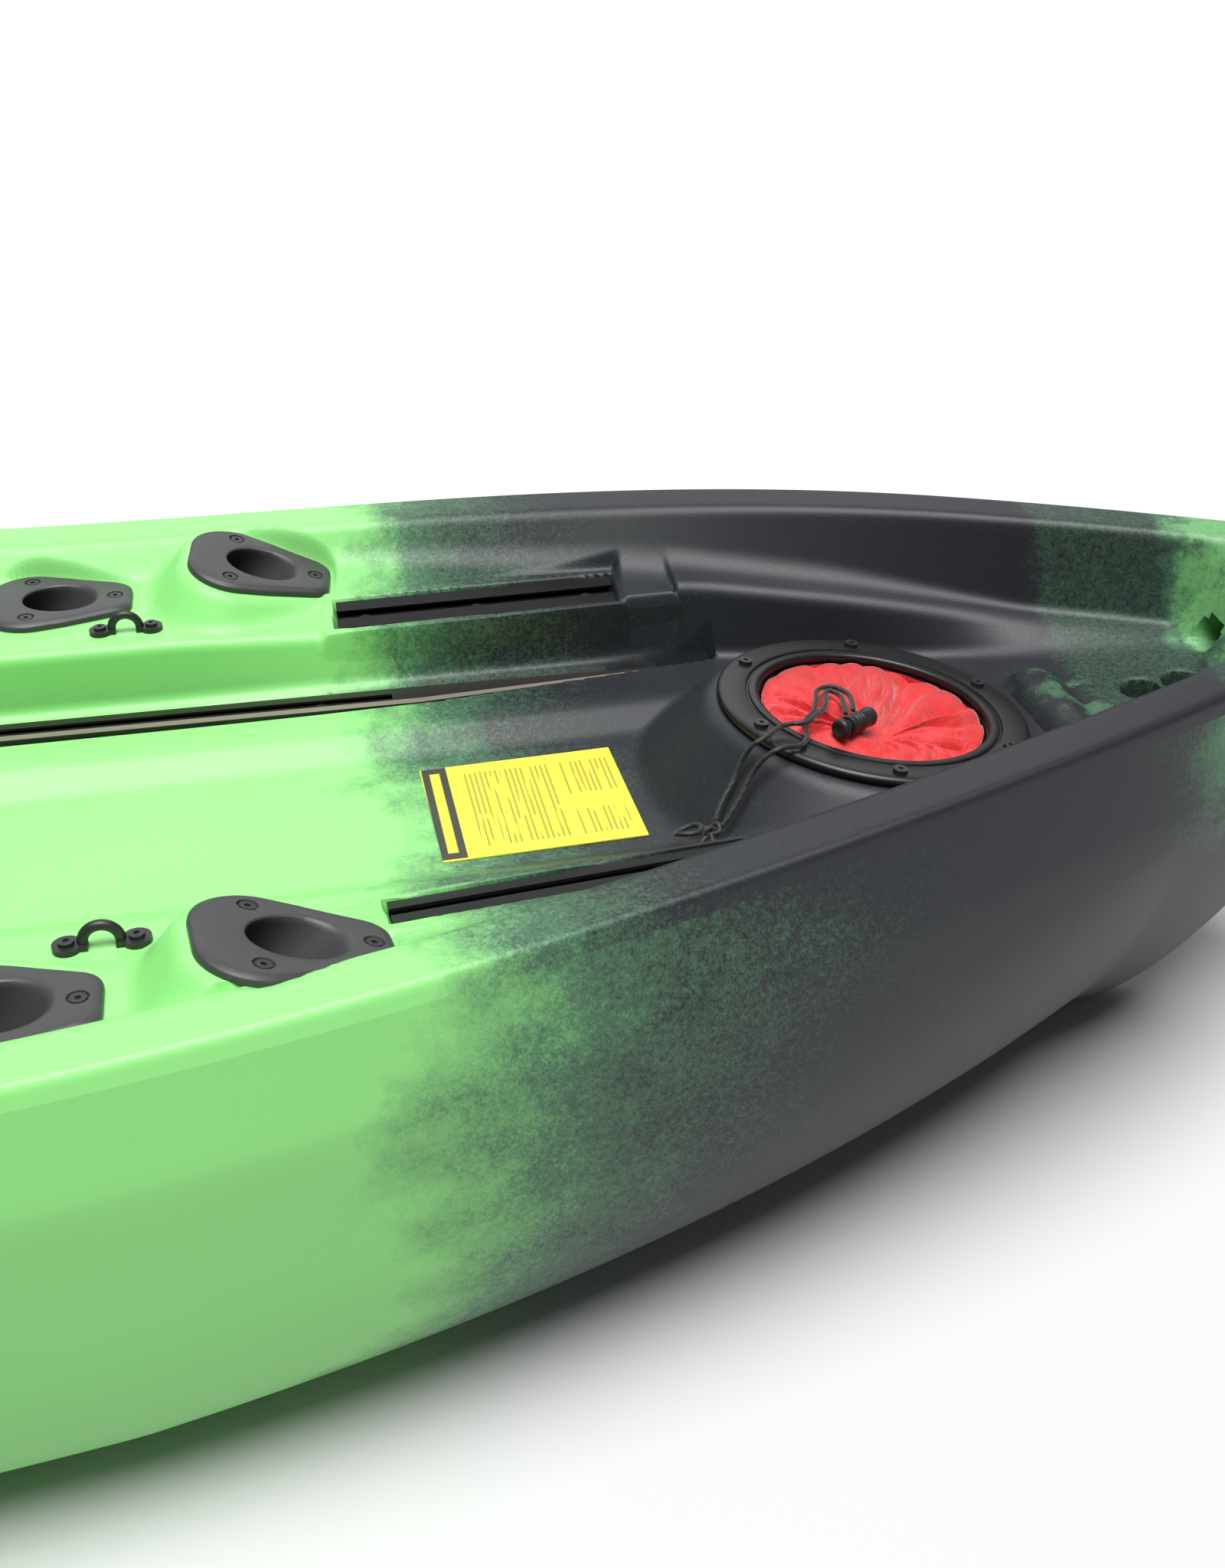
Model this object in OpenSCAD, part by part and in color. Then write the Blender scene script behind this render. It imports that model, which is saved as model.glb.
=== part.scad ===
// Open recreational canoe with a double-skinned moulded hull, a stepped
// cockpit liner, flush rod holders, seat and accessory rails and a stern hatch.
// Frame: +X to the bow, +Y to port, +Z up. The origin is on the ground,
// under the middle of the boat. Millimetres.

/* [Hull] */
// Overall length from stem to stem
hull_len = 3350; // [3250:10:3450]
// Half-breadth of the gunwale amidships
gunwale_half = 359; // [350:1:368]
// Fullness of the gunwale curve in plan
plan_power = 3.2; // [3.0:0.1:3.4]
// Height of the gunwale amidships
gunwale_h = 296; // [290:1:302]
// How far the gunwale rises towards the stern
stern_rise = 34; // [30:1:38]
// How far the gunwale rises towards the bow
bow_rise = 58; // [54:1:62]
// Height of the side panel between gunwale and crease
panel_h = 71; // [68:1:74]
// Thickness of the moulded skins
skin_t = 6; // [5:0.5:7]

/* [Stern hatch] */
// Radius of the hatch opening
hatch_r = 76.2; // [76:0.1:76.5]
// Outer radius of the hatch flange
hatch_flange_r = 104; // [102:1:106]
// Radius of the circle of hatch screws
hatch_screw_r = 93.5; // [92.5:0.5:94.5]
// Tilt of the hatch plane, high side towards the bow
hatch_tilt = 6.8; // [6:0.1:7.5]

/* [Fittings] */
// Radius of a rod holder bore
rod_bore_r = 20.6; // [20:0.1:21]
// Lean of a rod holder bore from its flange
rod_lean = 35; // [33:1:37]
// Length of a stern accessory rail
gear_track_len = 200; // [190:5:205]
// Width of an accessory rail
gear_track_w = 31; // [29:1:32]
// Width of a seat rail
seat_rail_w = 25; // [24:1:26]
// Travel of the cord lock's button
lock_travel = 4; // [3:0.5:4]
// Diameter of the drawcord
cord_d = 3.4; // [2.8:0.1:3.6]

/* [Hidden] */
$fn = 48;
FINE = 96;

LIME = [0.55, 0.95, 0.45];
CHARCOAL = [0.22, 0.22, 0.25];
BLACK = [0.08, 0.08, 0.08];

// ---- lines of the hull -------------------------------------------------
half_len = hull_len / 2;
rim_h = 12;          // depth of the liner's turned-down rim
band_w = 36;         // width of the gunwale's flat top
tip_extra = 18;      // the plan curve closes this far beyond the tip
keel_rise = 300;     // height of the keel line at the tips
stern_keel_run = 250;
bow_keel_run = 420;
max_flare = 26;      // how far the crease stands outside the gunwale

function tip_gap(x) = half_len - abs(x);
function ease(d, a, b) = d <= a ? 1 : d >= b ? 0 : (1 + cos(180 * (d - a) / (b - a))) / 2;
function plan(x) = gunwale_half * (1 - pow(abs(x) / (half_len + tip_extra), plan_power));
function sheer(x) = gunwale_h + (x < 0 ? stern_rise : bow_rise) * ease(tip_gap(x), 300, 1050);
function keel_run(x) = x < 0 ? stern_keel_run : bow_keel_run;
function keel(x) = keel_rise * pow(max(0, 1 - tip_gap(x) / keel_run(x)), 1.6);
function crease_z(x) = max(sheer(x) - panel_h, keel(x) + 12);
function crease_y(x) = plan(x) + max_flare * tip_gap(x) / (tip_gap(x) + 400);
function fullness(x) = min(4.4, 1.5 + 0.0047 * max(0, tip_gap(x) - 290));
function band(x) = min(band_w, 0.35 * plan(x));
function inner_edge(x) = plan(x) - band(x);

// Stations of the hull, closer together at the tips, the pod and the stern's
// forefoot, and those of the liner
STATIONS = [
    -1675, -1665, -1645, -1600, -1570, -1545, -1520, -1495, -1470, -1450, -1405, -1345,
    -1275, -1225, -1175, -1145, -1120, -1020, -920, -860, -805, -700, -570, -450,
    -300, -150, 0, 150, 300, 450, 600, 750, 900, 1000, 1100, 1180, 1245, 1300,
    1360, 1420, 1480, 1540, 1600, 1645, 1665, 1675
];
LINER_STATIONS = [for (x = STATIONS) if (x != -1520 && x != -1470) x];
stretch = half_len / 1675;
function inset(x) = abs(x) > half_len - 1 ? sign(x) * (half_len - skin_t) : x;

// ---- hull skin ---------------------------------------------------------
bilge_steps = 8;
keel_flat = 0.08;    // flat of the keel as a share of the half-breadth

// Half section of the hull, from the rim down to the keel, moved in by t
function hull_half(x, t) =
    let (a = crease_y(x) - t, b = crease_z(x) - keel(x) - t, n = fullness(x))
    concat(
        [[plan(x) - t, sheer(x) - rim_h], [a, crease_z(x)]],
        [for (k = [1:bilge_steps]) let (u = 90 * k / (bilge_steps + 1))
            [a * pow(cos(u), 2 / n), crease_z(x) - b * pow(sin(u), 2 / n)]],
        [[keel_flat * a, keel(x) + t]]
    );

// ---- liner -------------------------------------------------------------
stern_well = 1495;   // foot of the stern bulkhead
stern_deck = 1545;   // top of the stern bulkhead
bow_well = 1245;
bow_deck = 1300;
deck_drop = 2;       // the end decks lie this far below the gunwale

function is_deck(x) = x <= -stern_deck || x >= bow_deck;
// Distance of the wall's foot inside the gunwale's inner edge
function wall_in(x) = lookup(abs(x), [[0, 8], [805, 8], [920, 14], [1120, 22], [1500, 18]]);
// Height of the shelf at the wall's foot
function shelf_out_z(x) = lookup(x, [
    [-1495, 266], [-1405, 266], [-1345, 273], [-1275, 282], [-1175, 288], [-1120, 288],
    [-920, 281], [-860, 272], [-805, 269], [900, 269], [1245, 290]]);
// Half-breadth and height of the shelf's inner edge
function shelf_in_y(x) = lookup(x, [
    [-1495, 52], [-1405, 92], [-1345, 112], [-1275, 133], [-1175, 163], [-920, 172],
    [-805, 168], [-570, 168], [-450, 232], [900, 232], [1245, 148]]);
function shelf_in_z(x) = lookup(x, [
    [-1495, 263], [-1405, 264], [-1345, 268], [-1275, 273], [-1175, 280], [-1120, 268],
    [-920, 261], [-805, 268], [900, 268], [1245, 266]]);
// Half-breadth and height of the foot of the lower wall
function foot_y(x) = lookup(x, [
    [-1495, 36], [-1405, 64], [-1345, 98], [-1275, 125], [-1175, 152], [-1120, 158],
    [-805, 164], [-570, 165], [-450, 228], [900, 228], [1245, 142]]);
function foot_z(x) = lookup(x, [
    [-1495, 259], [-1405, 249], [-1345, 238], [-1275, 231], [-1120, 228], [-805, 223],
    [-450, 221], [1245, 221]]);
// Height of the sole along the centreline
function sole_z(x) = lookup(x, [
    [-1495, 256], [-1405, 246], [-1345, 234], [-1275, 216], [-1120, 212], [-1020, 210],
    [-700, 204], [1245, 204]]);

// Half section of the liner's upper face, from the rim to the centreline
function well_half(x) =
    let (p = plan(x), q = inner_edge(x), s = sheer(x), f = foot_y(x))
    [
        [p, s - rim_h], [p, s - 2], [p - 2.5, s], [q + 3, s - 1], [q, s - 4],
        [q - wall_in(x), shelf_out_z(x)], [shelf_in_y(x), shelf_in_z(x)],
        [f, foot_z(x)], [min(98, 0.65 * f), foot_z(x) - 2],
        [min(72, 0.48 * f), sole_z(x)], [0, sole_z(x)]
    ];
// The same across an end deck
function deck_half(x) =
    let (p = plan(x), q = inner_edge(x), s = sheer(x), b = band(x), z = s - deck_drop)
    concat(
        [[p, s - rim_h], [p, s - 2], [p - 0.07 * b, s], [q + 0.08 * b, s - 1], [q, z]],
        [for (k = [5:10]) [q * (10 - k) / 6, z]]
    );
// Half section of the liner's underside
function well_under(x) =
    let (top = well_half(x), t = skin_t)
    [
        top[0] - [t, 0], top[1] - [t, t], top[2] - [t, t - 1], top[3] + [t, -t],
        top[4] + [t, -4], top[5] + [t, -t], top[6] + [t, -t], top[7] + [t, -t],
        top[8] - [0, t], top[9] - [0, t], top[10] - [0, t]
    ];
function deck_under(x) =
    let (w = plan(x) - skin_t, z = sheer(x) - deck_drop - skin_t)
    concat(
        [[w, sheer(x) - rim_h], [w, z]],
        [for (k = [2:10]) [w * (10 - k) / 9, z]]
    );

// ---- skins from rings of points ---------------------------------------
// A half section becomes a whole one by mirroring it in the centreline
function mirrored(half) =
    let (n = len(half), centred = half[n - 1][0] == 0)
    concat(half, [for (j = [n - (centred ? 2 : 1):-1:0]) [-half[j][0], half[j][1]]]);
function ring(x, half) = [for (p = mirrored(half)) [x, p[0], p[1]]];

// Closed skin between an under ring and an upper ring at every station. Its ends
// are walls across the boat, or for a strip just its own thickness.
module skin(under, upper, strip = false) {
    n = len(under);
    m = len(under[0]);
    points = concat([for (r = under) each r], [for (r = upper) each r]);
    function o(i, j) = i * m + j;
    function u(i, j) = n * m + i * m + j;
    grid = [for (i = [0:n - 2], j = [0:m - 2]) each [
        [o(i, j), o(i, j + 1), o(i + 1, j + 1)],
        [o(i, j), o(i + 1, j + 1), o(i + 1, j)],
        [u(i, j), u(i + 1, j + 1), u(i, j + 1)],
        [u(i, j), u(i + 1, j), u(i + 1, j + 1)]
    ]];
    rims = [for (i = [0:n - 2]) each [
        [u(i, 0), o(i + 1, 0), u(i + 1, 0)],
        [u(i, 0), o(i, 0), o(i + 1, 0)],
        [o(i + 1, m - 1), o(i, m - 1), u(i, m - 1)],
        [o(i + 1, m - 1), u(i, m - 1), u(i + 1, m - 1)]
    ]];
    walls = [
        [for (j = [m - 1:-1:0]) o(0, j)], [for (j = [0:m - 1]) u(0, j)],
        [o(0, m - 1), o(0, 0), u(0, 0), u(0, m - 1)],
        [for (j = [0:m - 1]) o(n - 1, j)], [for (j = [m - 1:-1:0]) u(n - 1, j)],
        [o(n - 1, 0), o(n - 1, m - 1), u(n - 1, m - 1), u(n - 1, 0)]
    ];
    edges = [for (j = [0:m - 2]) each [
        [o(0, j + 1), o(0, j), u(0, j), u(0, j + 1)],
        [o(n - 1, j), o(n - 1, j + 1), u(n - 1, j + 1), u(n - 1, j)]
    ]];
    polyhedron(points, concat(grid, rims, strip ? edges : walls), convexity = 6);
}

module hull_skin() {
    xs = stretch * STATIONS;
    color(LIME) skin(
        [for (x = xs) ring(x, hull_half(x, 0))],
        [for (x = xs) ring(inset(x), hull_half(x, skin_t))]
    );
}

module liner_skin() {
    xs = stretch * LINER_STATIONS;
    skin(
        [for (x = xs) ring(inset(x), is_deck(x) ? deck_under(x) : well_under(x))],
        [for (x = xs) ring(x, is_deck(x) ? deck_half(x) : well_half(x))]
    );
}

// ---- frames of the fittings -------------------------------------------
hatch_x = -1255;
hatch_z = 258;
module at_hatch() { translate([hatch_x, 0, hatch_z]) rotate([0, -hatch_tilt, 0]) children(); }

// A rod holder's frame has its origin on top of the flange, +X along the
// flange to the bow and +Z out of it
AFT_HOLDER = [[-871, 239, 292], [4.6, -16.3, 5]];
MID_HOLDER = [[-726, 244, 276], [1.5, -1.3, 0.6]];
module at_holder(place, port) {
    mirror([0, port ? 0 : 1, 0]) translate(place[0]) rotate(place[1]) children();
}
// An accessory rail's frame has its origin on its top face, at the forward
// end's middle, +X towards the bow
track_at = [-918, 191.5, 267.5];
track_turn = [12.7, 2.1, 2.8];
module at_track(port) {
    mirror([0, port ? 0 : 1, 0]) translate(track_at) rotate(track_turn) children();
}

// ---- deck liner --------------------------------------------------------
pod_top = -7;        // below the hatch plane
pod_base = -64;
pod_r = 109;
pod_base_r = 158;
bulkhead_hole_r = 11;

module teardrop(grow) {
    hull() {
        for (v = [-1, 1]) {
            translate([-35, 11 * v]) circle(14 + grow);
            translate([22, 12 * v]) circle(31 + grow);
        }
    }
}
module holder_pad(place) {
    translate(place[0]) rotate(place[1]) translate([0, 0, -60])
        linear_extrude(60 - holder_flange_t) teardrop(3, $fn = 32);
}
// Rounded ridge moulded across the sole behind the hatch
module stern_ridge() {
    hull() for (y = [-34, 34]) translate([-1386, y, 239]) sphere(13, $fn = 16);
}
module pod_cone() {
    rotate_extrude($fn = FINE) polygon([
        [hatch_r + 12, pod_top], [pod_r, pod_top], [pod_base_r, pod_base],
        [pod_base_r, pod_base - skin_t], [pod_base_r - 4, pod_base - skin_t],
        [pod_r - 4, pod_top - skin_t], [hatch_r + 12, pod_top - skin_t]
    ]);
}
module pod_inside() {
    rotate_extrude($fn = FINE) polygon([
        [0, 12], [pod_r - 3, 12], [pod_r - 3, pod_top - 3], [pod_base_r - 3, pod_base - 3],
        [pod_base_r - 3, pod_base - 20], [0, pod_base - 20]
    ]);
}
module deck_liner() {
    color(LIME) difference() {
        union() {
            liner_skin();
            for (port = [true, false]) mirror([0, port ? 0 : 1, 0]) holder_pad(AFT_HOLDER);
            stern_ridge();
        }
        at_hatch() pod_inside();
        for (port = [true, false]) at_holder(AFT_HOLDER, port)
            translate([0, 0, -holder_flange_t - 0.02]) linear_extrude(40) teardrop(0.4, $fn = 32);
        for (port = [true, false]) {
            at_holder(AFT_HOLDER, port) holder_clearance();
            at_holder(MID_HOLDER, port) holder_clearance();
            at_track(port) translate([-gear_track_len, -gear_track_w / 2, -track_h])
                cube([gear_track_len, gear_track_w, 4 * track_h]);
        }
        // rope holes in the stern bulkhead
        for (side = [-1, 1])
            translate([-1506, side * 30, 271]) rotate([0, 75, 0])
                cylinder(r = bulkhead_hole_r, h = 50, center = true);
        // round drain sockets in the stern sole
        for (x = SOCKETS) translate([x, 0, sole_z(x) - 20]) cylinder(r = socket_r + 2, h = 40);
        for (side = [-1, 1]) translate([0, side * rail_y, rail_z]) linear_extrude(20) rail_outline(side);
        translate([drain_x, 0, drain_z - 30]) cylinder(r = drain_neck_r, h = 60);
    }
    color(LIME) at_hatch() pod_cone();
    color(LIME) for (x = SOCKETS) drain_socket(x);
}
SOCKETS = [-1447, -1477];
socket_r = 12;
module drain_socket(x) {
    translate([x, 0, sole_z(x) - 45]) difference() {
        cylinder(r = socket_r + 3, h = 46);
        translate([0, 0, 3]) cylinder(r = socket_r, h = 50);
    }
}

// ---- rod holders -------------------------------------------------------
holder_flange_t = 6;
holder_tube_r = 23.5;
holder_depth = 200;
holder_screws = [[-37.5, 0], [22, 29.3], [22, -29.3]];

module holder_clearance() {
    rotate([0, -rod_lean, 0]) translate([0, 0, -holder_depth - 4])
        cylinder(r = holder_tube_r + 0.3, h = holder_depth + 64);
    for (s = holder_screws) translate([s[0], s[1], -40]) cylinder(r = 1.8, h = 60, $fn = 24);
}
module rod_holder(place, port) {
    color(BLACK) at_holder(place, port) difference() {
        union() {
            translate([0, 0, -holder_flange_t]) linear_extrude(holder_flange_t) teardrop(0);
            difference() {
                rotate([0, -rod_lean, 0]) translate([0, 0, -holder_depth])
                    cylinder(r = holder_tube_r, h = holder_depth + 30, $fn = FINE);
                translate([-100, -60, -1]) cube([200, 120, 80]);
            }
        }
        rotate([0, -rod_lean, 0]) translate([0, 0, -holder_depth + 4])
            cylinder(r = rod_bore_r, h = holder_depth + 60, $fn = FINE);
        for (s = holder_screws) translate([s[0], s[1], -12]) {
            cylinder(r = 2.2, h = 20, $fn = 24);
            translate([0, 0, 9.5]) cylinder(r = 4.6, h = 10, $fn = 32);
        }
    }
}
module rod_holder_port_aft() { rod_holder(AFT_HOLDER, true); }
module rod_holder_starboard_aft() { rod_holder(AFT_HOLDER, false); }
module rod_holder_port_mid() { rod_holder(MID_HOLDER, true); }
module rod_holder_starboard_mid() { rod_holder(MID_HOLDER, false); }

// Pan-head screw with its head's seat at the origin and its shank along -Z
module pan_screw(head_r, head_h, shank_r, shank_l) {
    difference() {
        union() {
            cylinder(r = head_r, h = head_h, $fn = 32);
            translate([0, 0, -shank_l]) cylinder(r = shank_r, h = shank_l + 0.1, $fn = 24);
        }
        translate([0, 0, head_h - 1]) cylinder(r = 1.6, h = 2, $fn = 24);
    }
}
module rod_holder_screws() {
    color("silver") for (port = [true, false], place = [AFT_HOLDER, MID_HOLDER], s = holder_screws)
        at_holder(place, port) translate([s[0], s[1], -2.5]) pan_screw(4.3, 2.2, 1.7, 22);
}

// ---- seat rails --------------------------------------------------------
rail_y = 141.5;      // middle of a seat rail
rail_z = 219;        // underside
rail_h = 5;
rail_aft = -1180;    // pointed aft end
rail_taper = 210;
rail_bow = 1000;

module rail_outline(side) {
    polygon([
        [rail_bow, -seat_rail_w / 2], [rail_bow, seat_rail_w / 2],
        [rail_aft + rail_taper, seat_rail_w / 2], [rail_aft, side * 8 + 1],
        [rail_aft, side * 8 - 1], [rail_aft + rail_taper, -seat_rail_w / 2]
    ]);
}
module seat_rail(side) {
    color("dimgray") translate([0, side * rail_y, rail_z]) difference() {
        linear_extrude(rail_h) rail_outline(side);
        // undercut slot
        translate([rail_aft + rail_taper + 20, -4.5, 3]) cube([2000, 9, 5]);
        translate([rail_aft + rail_taper + 20, -8, 1.2]) cube([2000, 16, 2.2]);
    }
}
module seat_rail_port() { seat_rail(1); }
module seat_rail_starboard() { seat_rail(-1); }
module seat_rail_screws() {
    color("silver") for (side = [-1, 1], x = [-900:300:900])
        translate([x, side * rail_y, rail_z + 1.2]) {
            cylinder(r = 3.8, h = 1.3, $fn = 32);
            translate([0, 0, -12]) cylinder(r = 1.8, h = 12.1, $fn = 24);
        }
}

// ---- stern accessory rails ---------------------------------------------
track_h = 7;
module gear_track(port) {
    w = gear_track_w / 2;
    color("dimgray") at_track(port) translate([0, 0, -track_h]) rotate([90, 0, -90])
        linear_extrude(gear_track_len) polygon([
            [-w, 0], [w, 0], [w, track_h], [4.5, track_h], [4.5, 5.2], [9, 5.2], [9, 1.4],
            [-9, 1.4], [-9, 5.2], [-4.5, 5.2], [-4.5, track_h], [-w, track_h]
        ]);
}
module gear_track_port() { gear_track(true); }
module gear_track_starboard() { gear_track(false); }
module gear_track_screws() {
    color("silver") for (port = [true, false], x = [-20, -100, -180])
        at_track(port) translate([x, 0, -track_h + 1.4]) {
            cylinder(r = 3.8, h = 1.3, $fn = 32);
            translate([0, 0, -14]) cylinder(r = 1.8, h = 14.1, $fn = 24);
        }
}

// ---- pad eyes ----------------------------------------------------------
pad_eye_at = [-772, 192.4, 268.3];
pad_eye_gap = 17.4;  // half the distance between its screws
module pad_eye(side) {
    color(BLACK) translate([pad_eye_at[0], side * pad_eye_at[1], pad_eye_at[2]]) {
        difference() {
            union() {
                for (u = [-1, 1]) translate([u * pad_eye_gap, 0, 0]) cylinder(r = 7.5, h = 3.5);
                for (u = [-1, 1]) translate([u * 12 - 5, -4, 0]) cube([10, 8, 3.5]);
            }
            for (u = [-1, 1]) translate([u * pad_eye_gap, 0, -1]) cylinder(r = 2.3, h = 6, $fn = 24);
        }
        translate([0, 0, 3.2]) rotate([90, 0, 0])
            rotate_extrude(angle = 180, $fn = FINE) translate([9.5, 0]) circle(2.9, $fn = 24);
    }
}
module pad_eye_port() { pad_eye(1); }
module pad_eye_starboard() { pad_eye(-1); }
module pad_eye_screws() {
    color("silver") for (side = [-1, 1], u = [-1, 1])
        translate([pad_eye_at[0] + u * pad_eye_gap, side * pad_eye_at[1], pad_eye_at[2] + 3.5])
            pan_screw(4.2, 2.2, 2, 16);
}

// ---- hatch -------------------------------------------------------------
hatch_flange_t = 5;
collar_depth = 26;
screw_turn = 20;     // the first screw's angle from the bow
module hatch_holes(r) {
    for (k = [0:5]) rotate(screw_turn + 60 * k) translate([hatch_screw_r, 0, -20])
        cylinder(r = r, h = 40, $fn = 24);
}
module hatch_ring() {
    color(BLACK) at_hatch() difference() {
        union() {
            translate([0, 0, -hatch_flange_t]) cylinder(r = hatch_flange_r, h = hatch_flange_t, $fn = FINE);
            translate([0, 0, -collar_depth]) cylinder(r = hatch_r + 5, h = collar_depth, $fn = FINE);
        }
        translate([0, 0, -collar_depth - 1]) cylinder(r = hatch_r, h = collar_depth + 2, $fn = FINE);
        hatch_holes(2.4);
    }
}
module hatch_gasket() {
    color("dimgray") at_hatch() translate([0, 0, pod_top]) difference() {
        cylinder(r = hatch_flange_r - 2, h = -pod_top - hatch_flange_t, $fn = FINE);
        translate([0, 0, -1]) cylinder(r = hatch_r + 13, h = 10, $fn = FINE);
        hatch_holes(2.4);
    }
}
module hatch_screws() {
    color("silver") at_hatch() for (k = [0:5]) rotate(screw_turn + 60 * k)
        translate([hatch_screw_r, 0, 0]) pan_screw(4.6, 2.4, 2, 14);
}
// Storage bag hung in the hatch, its gathered mouth closed by a drawcord
module hatch_bag() {
    color("red") at_hatch() rotate_extrude($fn = FINE) polygon([
        [0, -160], [52, -156], [70, -140], [75, -110], [75, -12], [71, -7], [40, -2], [0, -1]
    ]);
}

// ---- drawcord ----------------------------------------------------------
// Routes in the boat's frame. Both strands leave the cord lock, twist
// together over the hatch rim and hang down the pod to one knot.
LONG_ROUTE = [
    [-1224, 31, 270], [-1226, 24, 270], [-1228, 15, 269], [-1230, 6, 268], [-1229, -1, 268],
    [-1225, -4, 269], [-1221, -1, 269], [-1219, 6, 269], [-1215, 17, 270], [-1209, 27, 271],
    [-1202, 35, 273], [-1196, 42, 273.4], [-1190, 44, 273.6], [-1184, 43, 273.4], [-1178, 44, 273.2],
    [-1172, 49, 273.6], [-1166, 55, 273.6], [-1160, 58, 272.6], [-1154, 58, 268.6], [-1150, 58, 262.6],
    [-1147, 59, 256.6], [-1144, 61, 250.6], [-1140, 64, 245.6], [-1135, 68, 240.4], [-1131, 72, 235.2],
    [-1127, 77, 229]
];
SHORT_ROUTE = [
    [-1231, 26, 269], [-1233, 19, 269], [-1235, 11, 268], [-1236, 3, 268], [-1234, -4, 268],
    [-1229, -9, 269], [-1222, -9, 269], [-1216, -4, 269], [-1213, 5, 269], [-1209, 15, 269],
    [-1204, 24, 269], [-1198, 31, 269], [-1194, 38, 269], [-1193, 46, 269], [-1191, 54, 269],
    [-1187, 61, 269], [-1181, 66, 270], [-1174, 69, 272], [-1167, 71, 272], [-1161, 71, 269],
    [-1156, 71, 264], [-1152, 71, 258], [-1148, 73, 252], [-1144, 76, 246], [-1139, 79, 240],
    [-1134, 82, 234], [-1129, 84, 229]
];
KNOT = [-1123.5, 81.5, 225.8];

function catmull(a, b, c, d, t) =
    0.5 * (2 * b + (c - a) * t + (2 * a - 5 * b + 4 * c - d) * t * t
           + (3 * b - a - 3 * c + d) * t * t * t);
function smooth_route(p) =
    let (n = len(p) - 1)
    concat(
        [for (i = [0:n - 1], t = [0, 0.5])
            catmull(p[max(0, i - 1)], p[i], p[i + 1], p[min(n, i + 2)], t)],
        [p[n]]
    );
function unit(v) = v / norm(v);
function tangent(p, i) = unit(p[min(len(p) - 1, i + 1)] - p[max(0, i - 1)]);
// Side vector carried along the route without twisting
function sides(p, i = 0, prev = [0, 0, 1], done = []) =
    i == len(p) ? done :
    let (t = tangent(p, i), s = unit(prev - (prev * t) * t))
    sides(p, i + 1, s, concat(done, [s]));
cord_sides = 8;
module tube(route) {
    p = smooth_route(route);
    s = sides(p);
    n = len(p);
    m = cord_sides;
    points = [for (i = [0:n - 1]) let (w = cross(tangent(p, i), s[i])) for (k = [0:m - 1])
        p[i] + cord_d / 2 * (cos(360 * k / m) * s[i] + sin(360 * k / m) * w)];
    walls = [for (i = [0:n - 2], k = [0:m - 1]) let (q = (k + 1) % m) each [
        [i * m + k, (i + 1) * m + k, (i + 1) * m + q], [i * m + k, (i + 1) * m + q, i * m + q]
    ]];
    ends = [[for (k = [0:m - 1]) k], [for (k = [m - 1:-1:0]) (n - 1) * m + k]];
    color(BLACK) polyhedron(points, concat(walls, ends), convexity = 6);
}
module drawcord_long() { tube(LONG_ROUTE); }
module drawcord_short() { tube(SHORT_ROUTE); }
module drawcord_knot() {
    color(BLACK) {
        translate(KNOT) sphere(5, $fn = 24);
        translate(KNOT + [13, -5, -1.4]) rotate([12, 10, 0]) rotate_extrude($fn = 32)
            translate([7.4, 0]) circle(cord_d / 2, $fn = 16);
    }
}

// ---- cord lock ---------------------------------------------------------
// Its frame has +X out of the button's end, origin at the barrel's mouth
lock_at = [-1220, 46, 269.3];
lock_turn = [0, -5.5, 35.5];
lock_r = 6.5;
lock_len = 26;
stem_r = 4.4;
stem_bore_r = 4.5;
bore_depth = 17;
button_h = 5;
module at_lock() { translate(lock_at) rotate(lock_turn) rotate([0, 90, 0]) children(); }
module cord_lock_barrel() {
    color(BLACK) at_lock() difference() {
        translate([0, 0, -lock_len]) cylinder(r = lock_r, h = lock_len);
        translate([0, 0, -bore_depth]) cylinder(r = stem_bore_r, h = bore_depth + 1);
    }
}
module cord_lock_button() {
    color(BLACK) at_lock() {
        translate([0, 0, lock_travel + 0.3]) cylinder(r = lock_r, h = button_h);
        translate([0, 0, -8]) cylinder(r = stem_r, h = 8 + lock_travel + 0.5);
    }
}
// The spring is drawn at its pressed length
module cord_lock_spring() {
    color("silver") at_lock() for (k = [0:3]) translate([0, 0, -bore_depth + 0.5 + 1.1 * k])
        rotate_extrude($fn = 32) translate([3.2, 0]) circle(0.45, $fn = 16);
}

// ---- skid plate --------------------------------------------------------
skid_t = 5;
skid_half = 25;
skid_gap = 0.3;
SKID_ROWS = [-1520, -1495, -1470, -1450];
// Height of the hull's section at a station x, at a half-breadth y
function bottom_z(x, y) =
    let (h = hull_half(x, 0), n = len(h) - 1)
    lookup(abs(y), concat([[0, keel(x)]], [for (k = [n:-1:1]) h[k]]));
function skid_cols(x) =
    let (h = hull_half(x, 0), n = len(h) - 1, c = [skid_half, h[n - 1][0], h[n][0]])
    concat(c, [-c[2], -c[1], -c[0]]);
module skid_plate() {
    inner = [for (x = SKID_ROWS) [for (y = skid_cols(x)) [x, y, bottom_z(x, y) - skid_gap]]];
    outer = [for (r = inner) [for (p = r) [p[0], p[1], max(0.3, p[2] - skid_t)]]];
    color(BLACK) skin(outer, inner, strip = true);
}
module skid_plate_screws() {
    color("silver") for (s = [[-1482.5, 23.9, 38.4], [-1460, 8.1, 30.4]])
        translate([s[0], 0, s[1]]) rotate([0, s[2], 0]) translate([0, 0, -1])
            cylinder(r = 4.5, h = 2, $fn = 32);
}

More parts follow.
